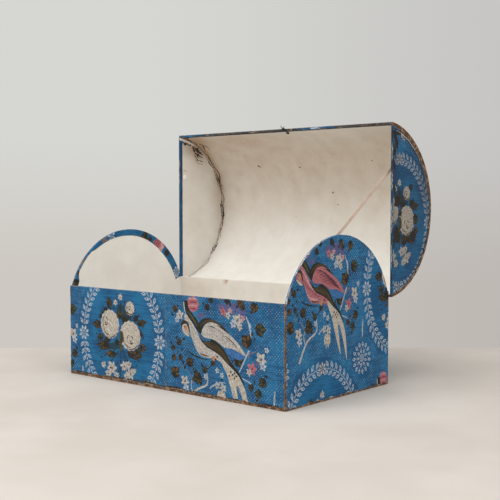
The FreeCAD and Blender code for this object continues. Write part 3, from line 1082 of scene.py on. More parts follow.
def finish_material(net, shader, colour, rough, height, strength, distance=0.0002):
    net.tree.links.new(colour, shader.inputs["Base Color"])
    net.tree.links.new(rough, shader.inputs["Roughness"])
    bump = net.add("Bump", {"Height": height, "Strength": strength, "Distance": distance})
    net.tree.links.new(bump.outputs[0], shader.inputs["Normal"])


def rgb(*colour):
    return (*linear(*colour), 1.0)


def place_on_piece(net):
    """The place on a piece, in millimetres."""
    return net.vector("MULTIPLY", net.add("TexCoord").outputs["Object"], (1 / MM, 1 / MM, 1 / MM))


def printed_paper_material():
    net, shader, material = new_material("printed_paper")
    flat = net.attribute("flat", "Vector")
    paper = net.group(LAID_PAPER, Flat=flat, Lines=0.6)
    ground = net.mix(net.ramp(paper["Tone"], 0.35, 0.68), rgb(14, 78, 122), rgb(26, 106, 152))
    dots = net.group(PIN_DOTS, Flat=flat, Pitch=3.3, Size=0.27)["Mask"]
    dots = net.math("MULTIPLY", net.math("MULTIPLY", dots, net.attribute("dots")), 0.44)
    ground = net.mix(dots, ground, rgb(172, 198, 218))
    ink = net.add("Attribute", attribute_name="ink")
    uneven = net.ramp(net.noise(flat, 0.5, 4.0, 0.6), 0.3, 0.7)
    tint = net.mix(uneven, rgb(178, 176, 172), rgb(255, 255, 255))
    ink_colour = net.mix(1.0, ink.outputs["Color"], tint, "MULTIPLY")
    cover = net.group(DRY_PRINT, Flat=flat, Cover=ink.outputs["Alpha"])["Cover"]
    colour = net.mix(cover, ground, ink_colour)
    rub = net.group(RUBBED_EDGE, Flat=flat, Edge=net.attribute("edge"), Reach=0.9)["Mask"]
    torn = net.ramp(net.noise(flat, 0.7, 3.0), 0.4, 0.6)
    bare = net.mix(torn, rgb(74, 56, 42), rgb(158, 140, 118))
    colour = net.mix(net.math("MULTIPLY", rub, 0.85), colour, bare)
    stain_and_shade = net.group(STAIN_AND_SHADE_BREAKUP, Flat=flat, Amount=net.attribute("stain_and_shade"))["Mask"]
    colour = net.mix(net.math("MULTIPLY", stain_and_shade, 0.6), colour, rgb(38, 34, 30))
    rough = net.ramp(paper["Height"], 0.2, 0.8, 0.84, 0.64)
    finish_material(net, shader, colour, rough, paper["Height"], 0.5)
    shader.inputs["Specular IOR Level"].default_value = 0.35
    return material


def lining_paper_material():
    net, shader, material = new_material("lining_paper")
    flat = net.attribute("flat", "Vector")
    paper = net.group(LAID_PAPER, Flat=flat, Lines=0.05)
    cream = net.mix(net.ramp(paper["Tone"], 0.3, 0.7), rgb(231, 228, 221), rgb(238, 236, 231))
    ink = net.add("Attribute", attribute_name="ink")
    red = net.add("SeparateColor", {0: ink.outputs["Color"]}).outputs[0]
    marks = net.math("SUBTRACT", 1.0, net.ramp(red, 0.1, 0.5))
    stain_and_shade = net.group(STAIN_AND_SHADE_BREAKUP, Flat=flat, Amount=net.attribute("stain_and_shade"))["Mask"]
    # Tan for stains, and for painted shade where the values spread wide, as over the upper part of the
    # dome lining.
    colour = net.mix(net.math("MULTIPLY", stain_and_shade, 0.8), cream, rgb(174, 138, 100))
    colour = net.mix(net.math("MULTIPLY", marks, 0.92), colour, ink.outputs["Color"])
    colour = net.mix(net.ramp(red, 0.88, 0.95), colour, ink.outputs["Color"])
    rub = net.group(RUBBED_EDGE, Flat=flat, Edge=net.attribute("edge"), Reach=0.5)["Mask"]
    colour = net.mix(net.math("MULTIPLY", rub, 0.35), colour, rgb(126, 102, 78))
    rough = net.ramp(paper["Height"], 0.2, 0.8, 0.9, 0.74)
    finish_material(net, shader, colour, rough, paper["Height"], 0.4)
    shader.inputs["Specular IOR Level"].default_value = 0.25
    return material


def pasteboard_material():
    net, shader, material = new_material("pasteboard")
    place = place_on_piece(net)
    fibre = net.noise(place, 0.9, 5.0, 0.7)
    plies = net.noise(net.vector("MULTIPLY", place, (0.06, 0.06, 2.4)), 1.0, 3.0, 0.6)
    tone = net.math("ADD", net.math("MULTIPLY", fibre, 0.6), net.math("MULTIPLY", plies, 0.4))
    colour = net.mix(net.ramp(tone, 0.36, 0.66), rgb(46, 32, 24), rgb(138, 102, 74))
    dirt = net.ramp(net.noise(place, 0.07, 4.0, 0.6), 0.5, 0.72)
    colour = net.mix(net.math("MULTIPLY", dirt, 0.65), colour, rgb(42, 32, 27))
    scuff = net.ramp(net.noise(place, 0.17, 4.0, 0.65), 0.49, 0.6)
    colour = net.mix(net.math("MULTIPLY", scuff, 0.6), colour, rgb(182, 152, 126))
    rough = net.ramp(tone, 0.3, 0.7, 0.95, 0.78)
    finish_material(net, shader, colour, rough, tone, 0.8, 0.0004)
    shader.inputs["Specular IOR Level"].default_value = 0.2
    return material


def brown_paper_material():
    net, shader, material = new_material("brown_paper")
    flat = net.attribute("flat", "Vector")
    paper = net.group(LAID_PAPER, Flat=flat, Lines=0.3)
    colour = net.mix(net.ramp(paper["Tone"], 0.3, 0.7), rgb(112, 88, 62), rgb(146, 118, 88))
    rub = net.group(RUBBED_EDGE, Flat=flat, Edge=net.attribute("edge"), Reach=4.0)["Mask"]
    colour = net.mix(net.math("MULTIPLY", rub, 0.6), colour, rgb(78, 58, 42))
    rough = net.ramp(paper["Height"], 0.2, 0.8, 0.9, 0.75)
    finish_material(net, shader, colour, rough, paper["Height"], 0.5)
    return material


def cloth_material(name, dark, light, count, strength):
    """Plain woven cloth, in the flat sizes of its sheet."""
    net, shader, material = new_material(name)
    flat = net.attribute("flat", "Vector")
    woven = net.group(WEAVE, Vector=flat, Count=count)
    colour = net.mix(net.ramp(woven["Tone"], 0.3, 0.7), dark, light)
    fade = net.ramp(net.noise(flat, 0.05, 3.0), 0.45, 0.75)
    colour = net.mix(net.math("MULTIPLY", fade, 0.4), colour, rgb(150, 138, 122))
    rough = net.ramp(woven["Height"], 0.3, 0.7, 0.92, 0.7)
    finish_material(net, shader, colour, rough, woven["Height"], strength)
    shader.inputs["Sheen Weight"].default_value = 0.2
    return material


def thread_material():
    net, shader, material = new_material("black_thread")
    place = place_on_piece(net)
    twist = net.noise(place, 3.0, 3.0, 0.6)
    colour = net.mix(net.ramp(twist, 0.35, 0.7), rgb(18, 16, 15), rgb(58, 50, 44))
    rough = net.ramp(twist, 0.3, 0.7, 0.85, 0.6)
    finish_material(net, shader, colour, rough, twist, 0.6)
    return material


def floor_material():
    net, shader, material = new_material("pale_cloth_floor")
    place = net.add("TexCoord").outputs["Object"]
    woven = net.group(WEAVE, Vector=place, Count=900.0)
    cloud = net.noise(place, 5.0, 3.0)
    colour = net.mix(net.ramp(cloud, 0.3, 0.7), rgb(202, 194, 186), rgb(212, 205, 198))
    rough = net.ramp(woven["Tone"], 0.3, 0.7, 0.95, 0.85)
    finish_material(net, shader, colour, rough, woven["Height"], 0.15)
    return material


PRINTED_PAPER = printed_paper_material()
LINING_PAPER = lining_paper_material()
PASTEBOARD = pasteboard_material()
BROWN_PAPER = brown_paper_material()
HINGE_CLOTH = cloth_material("hinge_cloth", rgb(58, 76, 96), rgb(92, 112, 132), 1.6, 0.5)
RIBBON_SILK = cloth_material("ribbon_silk", rgb(196, 168, 150), rgb(222, 200, 184), 2.2, 0.35)
BLACK_THREAD = thread_material()


def dress(piece, material, slot, body, *nodes):
    """Gives a piece its finish, the body that it rides and the CAD nodes that it stands for."""
    piece.data.materials.append(material)
    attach(piece, body)
    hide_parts(*nodes)
    return piece


def print_piece(piece, body, *nodes):
    return dress(piece, PRINTED_PAPER, "printed_paper", body, *nodes)


def lining_piece(piece, body, *nodes):
    return dress(piece, LINING_PAPER, "lining_paper", body, *nodes)


# Printed paper on the base.
def low_edge_wear():
    """Rubs along the foot of the front, where the print is worn to its stock and to the board."""
    art = []
    for mark, (start, end, rise, width, ink) in enumerate((
        (-198, -146, 4.4, 3.6, "brown"),
        (-150, -96, 4.6, 4.4, "umber"),
        (-112, -58, 6.0, 5.0, "brown"),
        (-96, -66, 4.8, 2.6, "stock"),
        (-64, -6, 6.2, 5.4, "umber"),
        (-48, -18, 4.6, 2.6, "stock"),
        (-14, 40, 5.6, 4.8, "brown"),
        (4, 34, 4.4, 2.4, "stock"),
        (36, 96, 4.8, 4.0, "umber"),
        (104, 150, 4.4, 3.2, "brown"),
        (152, 198, 4.6, 3.6, "brown"),
    )):
        line = [(start, rise - 0.6), ((start + end) / 2, rise), (end, rise - 0.6)]
        art.append((ink, tear(line, [0.8, width, 0.8], 170 + mark)))
    return art


def front_sheet(name, x0, x1, cells, wear, seed, node):
    """Front paper between two places along the box, over the top edge and down the inside."""
    turned_in = WALL_TOP - WALL_TURN_IN
    fold = Fold([(HALF_D, 0), (HALF_D, WALL_TOP), (INNER_Y, WALL_TOP), (INNER_Y, turned_in)])
    step = WALL_TOP + BOARD - 0.4
    corners = lapped_corners(x0, x1, FLOOR_Z, step, fold.length, INNER_X - 0.6)
    edges = [wear["bottom"], wear["right"]] + [NEAT] * (len(corners) - 3) + [wear["left"]]
    outline = worn_outline(corners, edges, seed)
    art = printed(cells) + low_edge_wear()
    piece = make_sheet(name, outline, along_x(fold, -1), art, creases=level(fold.creases, x0, x1),
                       cockle=COCKLE, seed=seed)
    return print_piece(piece, "base", node)


def front_sheets():
    middle = 63.0
    rose_u = -HALF_L + 108.5
    roses = [(white_bird, rose_u - COLUMN, middle), (medallion, rose_u, middle)]
    birds = [(white_bird, rose_u + COLUMN, middle)]
    foot = (3.4, 1.6)
    front_sheet("front_rose_sheet", -END_OUT, FRONT_SEAM, roses,
                {"bottom": foot, "right": NEAT, "left": FRAYED}, 1.3, "base_front_rose_paper")
    front_sheet("front_bird_sheet", FRONT_SEAM, END_OUT, birds,
                {"bottom": foot, "right": WORN, "left": NEAT}, 2.7, "base_front_bird_paper")


def end_sheet(side, name, cells, turn_in, wear, seed, size=(1.0, 1.0), bits=()):
    """Paper on an end of the base: the outer face, over the arch's edge and round inside it.

    turn_in gives the width of the inside fold by its angle on the arch, and bits the motifs on it.
    """
    lined = INNER_X - LINING_THICK
    deepest = max(width for _, width in turn_in) + 0.5
    fold = Fold([(HALF_L, 0), (HALF_L, ARCH_R), (lined, ARCH_R), (lined, ARCH_R - deepest)])
    edge = fold.length - deepest
    start = math.degrees(math.asin((WALL_TOP + 0.5 - ARCH_Z) / ARCH_R))
    arch = []
    for angle in np.linspace(start, 180 - start, 64):
        reach = edge + np.interp(angle, *zip(*turn_in))
        arch += arc(min(reach, fold.length), angle, angle, (0, ARCH_Z), 9)[:1]
    neck = arc(ARCH_R - 0.3, start, 180 - start, (0, ARCH_Z))
    shoulder = WALL_TOP - 0.2
    corners = [(-HALF_D, FLOOR_Z), (HALF_D, FLOOR_Z), (HALF_D, shoulder), (neck[0][0], shoulder), neck[0]]
    corners += arch + [neck[-1], (neck[-1][0], shoulder), (-HALF_D, shoulder)]
    uncut = [(0, 0)] * 3
    edges = [wear["bottom"], wear["right"]] + uncut + [(0.3, 0.35)] * (len(arch) - 1)
    edges += uncut + [wear["left"]]
    outline = worn_outline(corners, edges, seed)
    creases = [arc(reach, start, 180 - start, (0, ARCH_Z), 2) for reach in fold.creases]
    art = printed(cells, size)
    if bits:
        ring = arc(fold.length + 2, 0, 180, (0, ARCH_Z)) + arc(ARCH_R, 180, 0, (0, ARCH_Z))
        art.append(("plain", np.array(ring)))
    for motif, angle, inward in bits:
        spot = arc(edge + inward, angle, angle, (0, ARCH_Z))[0]
        art += moved(motif, *spot, angle - 90)
    return make_sheet(name, outline, on_end(fold, side), art, creases=creases, cockle=COCKLE, seed=seed)


def rose_bit():
    """Part of a pink rose, with its dark red shading."""
    art = [("blush", blob(0, 0, 14, 9, 0, 7, 0.1)), ("pink", blob(4, 0, 9, 8, 0, 6, 0.12))]
    for x in (1, 6, 11):
        art.append(("rose", stroke([(x - 2, -6), (x + 1, 0), (x - 1, 6)], [0.8, 2.4, 0.8], 3)))
    return art


def end_sheets():
    foot = (2.2, 1.2)
    low, high = (-HALF_D, 0), (HALF_D, 210)
    cells = repeat(-HALF_D + 75.0, -47.0, low, high, [pink_bird])
    full = [(0, 7.6), (180, 7.6)]
    wear = {"bottom": foot, "right": FRAYED, "left": WORN}
    # Pale strokes along the left half of the arch's edge: wear, and painted highlight where the rounded
    # edge catches the light.
    rubs_and_edge_highlights = []
    for mark, angle in enumerate(range(98, 178, 7)):
        ink = ("garland", "lining", "garland", "slate")[mark % 4]
        rub = tear([(-8, 0), (0, 0.4), (8, 0)], [0.8, 3.0, 0.8], 120 + mark)
        rubs_and_edge_highlights.append(([(ink, rub)], angle, -1.8))
    piece = end_sheet(1, "right_end_sheet", cells, full, wear, 3.9, (0.93, 1.0), rubs_and_edge_highlights)
    print_piece(piece, "base", "base_right_end_paper", "base_right_arch_fold")

    uneven = [
        (0, 8.5), (24, 9.0), (29, 2.6), (46, 1.4), (52, 5.5),
        (60, 7.0), (80, 9.0), (106, 11.0), (130, 13.5), (180, 12.5),
    ]
    cells = repeat(-40.0, 150.0, low, high)
    wear = {"bottom": foot, "right": WORN, "left": FRAYED}
    bits = [
        (ivy_leaf(9, "moss"), 22, 5),
        (ivy_leaf(5), 29, 3),
        (daisy(9, 6, angle=30), 71, 4),
        (ivy_leaf(9, "umber"), 107, 7),
        (ivy_leaf(7, "moss"), 113, 9),
        (rose_bit(), 124, 7),
        (ivy_leaf(7, "brown"), 136, 6),
        (daisy(10, 8), 155, 5),
        (blossom(7, "garland", "plain"), 160, 10),
    ]
    piece = end_sheet(-1, "left_end_sheet", cells, uneven, wear, 5.1, bits=bits)
    print_piece(piece, "base", "base_left_end_paper", "base_left_arch_fold")


def back_sheet():
    fold = Fold([(HALF_D, 0), (HALF_D, WALL_TOP)])
    corners = oblong(-END_OUT, FLOOR_Z, END_OUT, WALL_TOP)
    outline = worn_outline(corners, [(2.6, 1.5), WORN, NEAT, WORN], 6.3)
    cells = repeat(-60.0, 40.0, (-END_OUT, 0), (END_OUT, WALL_TOP))
    art = [(ink, shape * (-1, 1)) for ink, shape in printed(cells)]
    piece = make_sheet("back_sheet", outline, along_x(fold, 1), art, cockle=COCKLE, seed=6.3)
    print_piece(piece, "base", "base_back_paper")


# Lining paper in the base, and the plain sheet under it.
def base_linings():
    gap = 0.12
    x = INNER_X - gap
    y = INNER_Y - gap
    top = WALL_TOP - 1.5
    low = FLOOR_TOP + 0.4

    outline = worn_outline(oblong(-x, -y, x, y), [(0, 0.1)], 7.1)
    spots = [(-120, 40, 60, 30, 0.4), (90, -60, 50, 40, 0.3), (160, 70, 40, 30, 0.4)]
    piece = make_sheet("floor_lining_sheet", outline, lying_at(FLOOR_TOP, 1), paper="lining",
                       thick=LINING_THICK, cockle=0.05, spots=spots, seed=7.1)
    lining_piece(piece, "base", "base_floor_lining")

    front = Fold([(-INNER_Y, 0), (-INNER_Y, WALL_TOP)])
    outline = worn_outline(oblong(-x, low, x, top), [(0, 0.08)], 8.4)
    piece = make_sheet("front_lining_sheet", outline, along_x(front, 1), paper="lining",
                       thick=LINING_THICK, cockle=0.02, spots=[(60, 20, 70, 25, 0.3)], seed=8.4)
    lining_piece(piece, "base", "base_front_lining")

    back = Fold([(-INNER_Y, 0), (-INNER_Y, WALL_TOP), (-HALF_D, WALL_TOP)])
    wear = [(0, 0.1), (0, 0.05), (0.1, 0.3), (0, 0.05)]
    outline = worn_outline(oblong(-x, low, x, back.length), wear, 9.2)
    creases = level(back.creases, -x, x)
    spots = [
        (-96, WALL_TOP - 1, 2.2, 1.6, 3.0),
        (0, WALL_TOP - 10, 400, 40, 0.3),
        (-150, 110, 40, 20, 0.3),
    ]
    piece = make_sheet("back_lining_sheet", outline, along_x(back, -1), paper="lining", creases=creases,
                       cockle=COCKLE, spots=spots, seed=9.2)
    lining_piece(piece, "base", "base_back_lining")

    shoulder = WALL_TOP - 0.2
    for side, word in ((-1, "left"), (1, "right")):
        face = Fold([(-INNER_X, 0), (-INNER_X, ARCH_R)])
        reach = ARCH_R - 2.5
        start = math.degrees(math.asin((WALL_TOP + 0.5 - ARCH_Z) / reach))
        corners = [(-y, low), (y, low), (y, shoulder)]
        corners += arc(reach, start, 180 - start, (0, ARCH_Z)) + [(-y, shoulder)]
        outline = worn_outline(corners, [(0, 0.06)], 10.0 + side)
        spots = [(-side * 70, 60, 40, 40, 0.2)]
        piece = make_sheet(word + "_end_lining_sheet", outline, on_end(face, -side), paper="lining",
                           thick=LINING_THICK, spots=spots, seed=10.0 + side)
        lining_piece(piece, "base", "base_%s_end_lining" % word)


def under_sheet():
    low, high = limits("base_under_paper")
    outline = worn_outline(oblong(*low[:2], *high[:2]), [(0.8, 1.0)], 11.5)
    piece = make_sheet("under_sheet", outline, lying_at(high[2], -1), paper="stock",
                       thick=high[2] - low[2], cell=20, seed=11.5)
    dress(piece, BROWN_PAPER, "brown_paper", "base", "base_under_paper")


# Papers of the lid.
def dome_section():
    """From the rear rim over the dome to its front rim, and round inside it."""
    half = math.degrees(math.asin(RIM_HALF / DOME_R))
    inner = math.sqrt(DOME_IN ** 2 - (RIM_Y - DOME_Y) ** 2)
    lined = DOME_IN - LINING_THICK
    corners = arc(DOME_R, -half, half, (DOME_Y, DOME_Z), 0.25)
    corners.append((RIM_Y, DOME_Z + inner - LINING_THICK))
    deep = math.acos((RIM_Y + RIM_TURN_IN - DOME_Y) / lined)
    corners.append((DOME_Y + lined * math.cos(deep), DOME_Z + lined * math.sin(deep)))
    return Fold(corners)


def dome_sheets():
    fold = dome_section()
    edge = fold.length - RIM_TURN_IN
    ribs = list(np.arange(4.0, edge - 4.0, 5.0))
    for name, x0, x1, rose_u, right, left, seed, nodes in (
        ("dome_left_sheet", -LID_X, DOME_SEAM, -80.0, NEAT, FRAYED, 12.6,
         ("lid_dome_left_paper",)),
        ("dome_right_sheet", DOME_SEAM, LID_X, -80.0 + COLUMN, WORN, NEAT, 13.8,
         ("lid_dome_right_paper", "lid_front_fold")),
    ):
        corners = lapped_corners(x0, x1, 0.3, edge, fold.length, LID_IN_X - 0.5)
        edges = [FRAYED, right] + [(0.3, 0.5)] * (len(corners) - 3) + [left]
        outline = worn_outline(corners, edges, seed)
        art = printed(repeat(rose_u, 150.0, (x0, 0), (x1, fold.length)))
        rim = oblong(x0 - 5, edge - 5, x1 + 5, fold.length + 5)
        art.append(("dusk", np.array(rim)))
        for mark, (start, end, ink) in enumerate((
            (-206, -150, "plain"),
            (-130, -60, "grime"),
            (-70, 10, "grime"),
            (-52, -36, "stock"),
            (6, 40, "olive"),
            (40, 112, "plain"),
            (64, 82, "garland"),
            (104, 150, "grime"),
            (140, 206, "grime"),
            (168, 184, "olive"),
        )):
            line = [(start, edge - 1.6), ((start + end) / 2, edge - 1.2), (end, edge - 1.7)]
            art.append((ink, tear(line, [1.0, 4.4, 1.0], 90 + mark)))
        spots = [(-20, edge, 60, 5, 0.8), (170, edge, 40, 5, 0.8)]
        piece = make_sheet(name, outline, along_x(fold, 1), art, lines=level(ribs, x0, x1),
                           creases=level(fold.creases, x0, x1), cockle=COCKLE, spots=spots, seed=seed)
        print_piece(piece, "lid", *nodes)


def worn_round_edge(middle):
    """Dark leaves crowding the roses of the lid's right end, and the dirt along its round edge."""
    art = []
    for u, v, radius, patch in (
        (-4, -18, 11, "brown"),
        (12, -25, 9, "umber"),
        (37, -17, 10, "brown"),
        (45, 6, 9, "moss"),
        (-4, 31, 10, "brown"),
        (37, 27, 8, "umber"),
        (2, 14, 6, "moss"),
        (30, 50, 6, "brown"),
    ):
        art += moved(ivy_leaf(radius, patch), middle[0] + u, middle[1] + v, 37 * u)
    for mark, (start, end, inward, widths, ink) in enumerate((
        (82, 6, 4.5, [1.0, 7.0, 1.5], "brown"),
        (70, 26, 8.5, [0.6, 4.4, 0.6], "olive"),
        (78, 34, 6.4, [0.5, 1.8, 0.5], "lining"),
        (36, 12, 5.2, [0.4, 1.4, 0.4], "lining"),
        (12, -66, 3.0, [1.0, 4.4, 1.0], "olive"),
    )):
        line = arc(DOME_IN - inward, start, end, (DOME_Y, DOME_Z), 14)
        art.append((ink, tear(line, widths, 140 + mark)))
    return art


def rim_wear(fold, side):
    """Plain ground round an end's rim, with the marks rubbed into it."""
    ends = [side * (LID_BACK - along) for along in (LID_RISE - 1.5, fold.length + 1)]
    low, high = DOME_Z - RIM_HALF - 5, DOME_Z + RIM_HALF + 5
    art = [("plain", np.array(oblong(ends[0], low, ends[1], high)))]
    rim = side * (LID_BACK - LID_RISE - 1.2)
    if side > 0:
        marks = (
            (114, 84, "olive"),
            (92, 66, "lining"),
            (70, 52, "olive"),
            (54, 24, "lining"),
            (28, 6, "olive"),
            (10, -32, "lining"),
            (-28, -54, "olive"),
            (-48, -80, "lining"),
            (-82, -104, "olive"),
        )
        for u, v, wide, tall in (
            (5, 104, 5, 7),
            (9, 92, 4, 9),
            (4, 80, 4, 7),
            (16, 106, 7, 3),
            (3, 62, 2, 8),
            (4, 28, 3, 9),
        ):
            art.append(("olive", blob(RIM_Y + u, DOME_Z + v, wide, tall, 12, 5, 0.25)))
    else:
        marks = ((80, 66, "lining"), (62, 40, "lining"), (30, 10, "slate"), (-30, -50, "slate"))
    for seed, (start, end, ink) in enumerate(marks):
        line = [(rim, DOME_Z + start), (rim + 0.2, DOME_Z + (start + end) / 2), (rim, DOME_Z + end)]
        art.append((ink, tear(line, [0.8, 2.4, 0.8], 70 + seed)))
    return art


def lid_end_sheets():
    lined = LID_IN_X - LINING_THICK
    fold = Fold([(LID_X, 0), (LID_X, LID_RISE), (lined, LID_RISE), (lined, LID_RISE - RIM_TURN_IN)])
    rim = LID_BACK - fold.length
    over = RIM_Y - BOARD
    reach = DOME_IN - 0.3
    half = math.degrees(math.acos((RIM_Y - DOME_Y) / reach))
    inner = math.sqrt((DOME_IN - 1.0) ** 2 - (RIM_Y + RIM_TURN_IN - DOME_Y) ** 2)
    for side, word, rose_at in ((-1, "left", (-150.0, 228.0)), (1, "right", (RIM_Y + 17.0, 221.5))):
        round_edge = arc(reach, -half, half, (DOME_Y, DOME_Z), 3)
        corners = round_edge + [
            (over, round_edge[-1][1]),
            (over, DOME_Z + inner),
            (rim, DOME_Z + inner),
            (rim, DOME_Z - inner),
            (over, DOME_Z - inner),
            (over, round_edge[0][1]),
        ]
        around = np.linspace(-half, half, len(round_edge) - 1)
        frayed = np.interp(around, (-60, 0, 25, 60, 80), (1.4, 1.2, 3.4, 4.2, 2.2))
        edges = [(deep, 1.4) for deep in frayed] + [(0, 0)] * 3 + [(0.2, 0.5)] + [(0, 0)] * 3
        outline = worn_outline(corners, edges, 15.0 + side)
        creases = []
        for along in fold.creases:
            creases.append([(LID_BACK - along, DOME_Z + end * RIM_HALF) for end in (-1, 1)])
        if side < 0:
            outline = outline * (-1, 1)
            creases = [[(-u, v) for u, v in line] for line in creases]
        low, high = outline.min(0), outline.max(0)
        art = printed(repeat(*rose_at, low, high)) + rim_wear(fold, side)
        if side > 0:
            art += worn_round_edge(rose_at)
        spots = [
            (side * RIM_Y, DOME_Z + 70, 12, 40, 0.9),
            (side * RIM_Y, DOME_Z - 30, 10, 60, 0.6),
            (side * (RIM_Y + 60), DOME_Z, 90, 160, 0.68),
            (side * (RIM_Y + 90), DOME_Z + 60, 20, 60, 0.7),
        ]
        piece = make_sheet("lid_%s_end_sheet" % word, anticlockwise(outline), on_lid_end(fold, side), art,
                           creases=creases, cockle=COCKLE, spots=spots, seed=15.0 + side)
        print_piece(piece, "lid", "lid_%s_end_paper" % word, "lid_%s_end_fold" % word)


def seam_cracks(x):
    """Tears along the dome lining's left edge, from the front rim down to the hinge."""
    art = []
    for seed, (points, widths) in enumerate((
        ([(2, 14), (5, 26), (3, 38), (8, 48)], [1.0, 4.4, 0.6]),
        ([(3, 24), (14, 38), (8, 52), (12, 62)], [0.6, 3.2, 0.5]),
        ([(9, 30), (20, 42), (17, 56)], [0.4, 2.4, 0.4]),
        ([(1, 48), (4, 68), (2, 84), (5, 96)], [2.0, 3.0, 0.8]),
        ([(2, 90), (7, 104), (4, 120), (6, 134)], [1.0, 3.6, 0.8]),
        ([(1, 104), (2, 122), (1, 144)], [1.4, 4.2, 1.0]),
        ([(2, 138), (5, 150), (2, 164)], [0.6, 2.4, 0.6]),
        ([(1, 160), (3, 172), (2, 184), (4, 200)], [2.0, 6.4, 1.2]),
        ([(3, 194), (2, 208), (5, 220)], [0.6, 2.4, 0.6]),
        ([(1, 220), (3, 236), (1, 252)], [1.2, 4.0, 0.8]),
        ([(2, 258), (4, 276), (1, 292)], [0.5, 2.0, 0.5]),
        ([(1, 300), (3, 314), (1, 328)], [0.4, 1.4, 0.4]),
    )):
        art.append(("crack_and_shadow", tear([(u - x, v) for u, v in points], widths, seed)))
    return art


def loose_strip(lining):
    """The torn strip of lining that stands off the lid's left end at its front corner."""
    long = 36.0

    def place(u, v):
        angle = np.radians(83.5 - u / 2.05)
        reach = DOME_IN - 2.6 + v
        lift = LINING_THICK + 0.12 + 0.25 * np.sin(math.pi * u / long)
        y = DOME_Y + reach * np.cos(angle)
        z = DOME_Z + reach * np.sin(angle)
        zero = np.zeros_like(u)
        return np.stack([lift - LID_IN_X, y, z], 1), np.stack([zero + 1, zero, zero], 1)

    outline = worn_outline([(0, -2.0), (long, -1.2), (long, 1.0), (0, 1.8)], [(0, 0.5)], 33.0)
    strip = make_sheet("loose_strip", outline, place, paper="sliver",
                       thick=LINING_THICK, cell=3.0, seed=33.0)
    with bpy.context.temp_override(active_object=lining, selected_editable_objects=[lining, strip]):
        bpy.ops.object.join()


def torn_corner(reach):
    """Torn lining at the front corner of the lid's left end: dark slits, a sliver and frayed fibres; the
    first slit, under the loose strip, is also its painted shadow.
    """
    art = []
    for seed, (widths, ink, marks) in enumerate((
        # This slit lies under the loose strip: a crack and the strip's painted shadow.
        ([2.0, 5.0, 3.0], "crack_and_shadow", ((82, 5), (76, 7), (69, 5))),
        ([4.0, 12.5, 1.5], "crack_and_shadow", ((67, 3), (60, 7), (53, 3))),
        ([1.0, 5.5, 0.8], "crack_and_shadow", ((66, 9), (59, 12), (51, 7))),
        ([0.6, 3.6, 0.5], "crack_and_shadow", ((63, 16), (56, 18), (48, 12))),
        ([0.4, 1.6, 0.4], "lining", ((66, 5), (60, 9), (53, 6))),
        ([0.4, 2.0, 0.4], "speck", ((65, 13), (58, 15), (50, 10))),
        ([0.4, 1.8, 0.3], "speck", ((61, 21), (54, 22), (47, 16))),
        ([0.6, 3.0, 0.6], "crack_and_shadow", ((49, 1), (42, 2.5), (36, 1))),
        ([0.5, 2.4, 0.5], "crack_and_shadow", ((35, 1), (27, 2), (19, 0.5))),
        ([0.3, 1.4, 0.3], "speck", ((31, 3), (23, 4), (16, 2))),
        ([1.0, 4.6, 0.8], "crack_and_shadow", ((9, 0.5), (2, 3), (-7, 0.5))),
        ([0.4, 1.6, 0.4], "speck", ((-10, 1), (-18, 2), (-26, 0.5))),
        ([0.6, 2.6, 0.5], "crack_and_shadow", ((-31, 0.5), (-37, 2), (-43, 0.5))),
    )):
        points = [arc(reach - inward, angle, angle, (DOME_Y, DOME_Z))[0] for angle, inward in marks]
        art.append((ink, tear(points, widths, 40 + seed)))
    art.append(("sliver", blob(RIM_Y + 10, DOME_Z + 53, 4.5, 3.6, 20, 5, 0.2)))
    art.append(("speck", stroke([(RIM_Y + 8, DOME_Z + 63), (RIM_Y + 16, DOME_Z + 62)], [0.6, 0.4])))
    return art


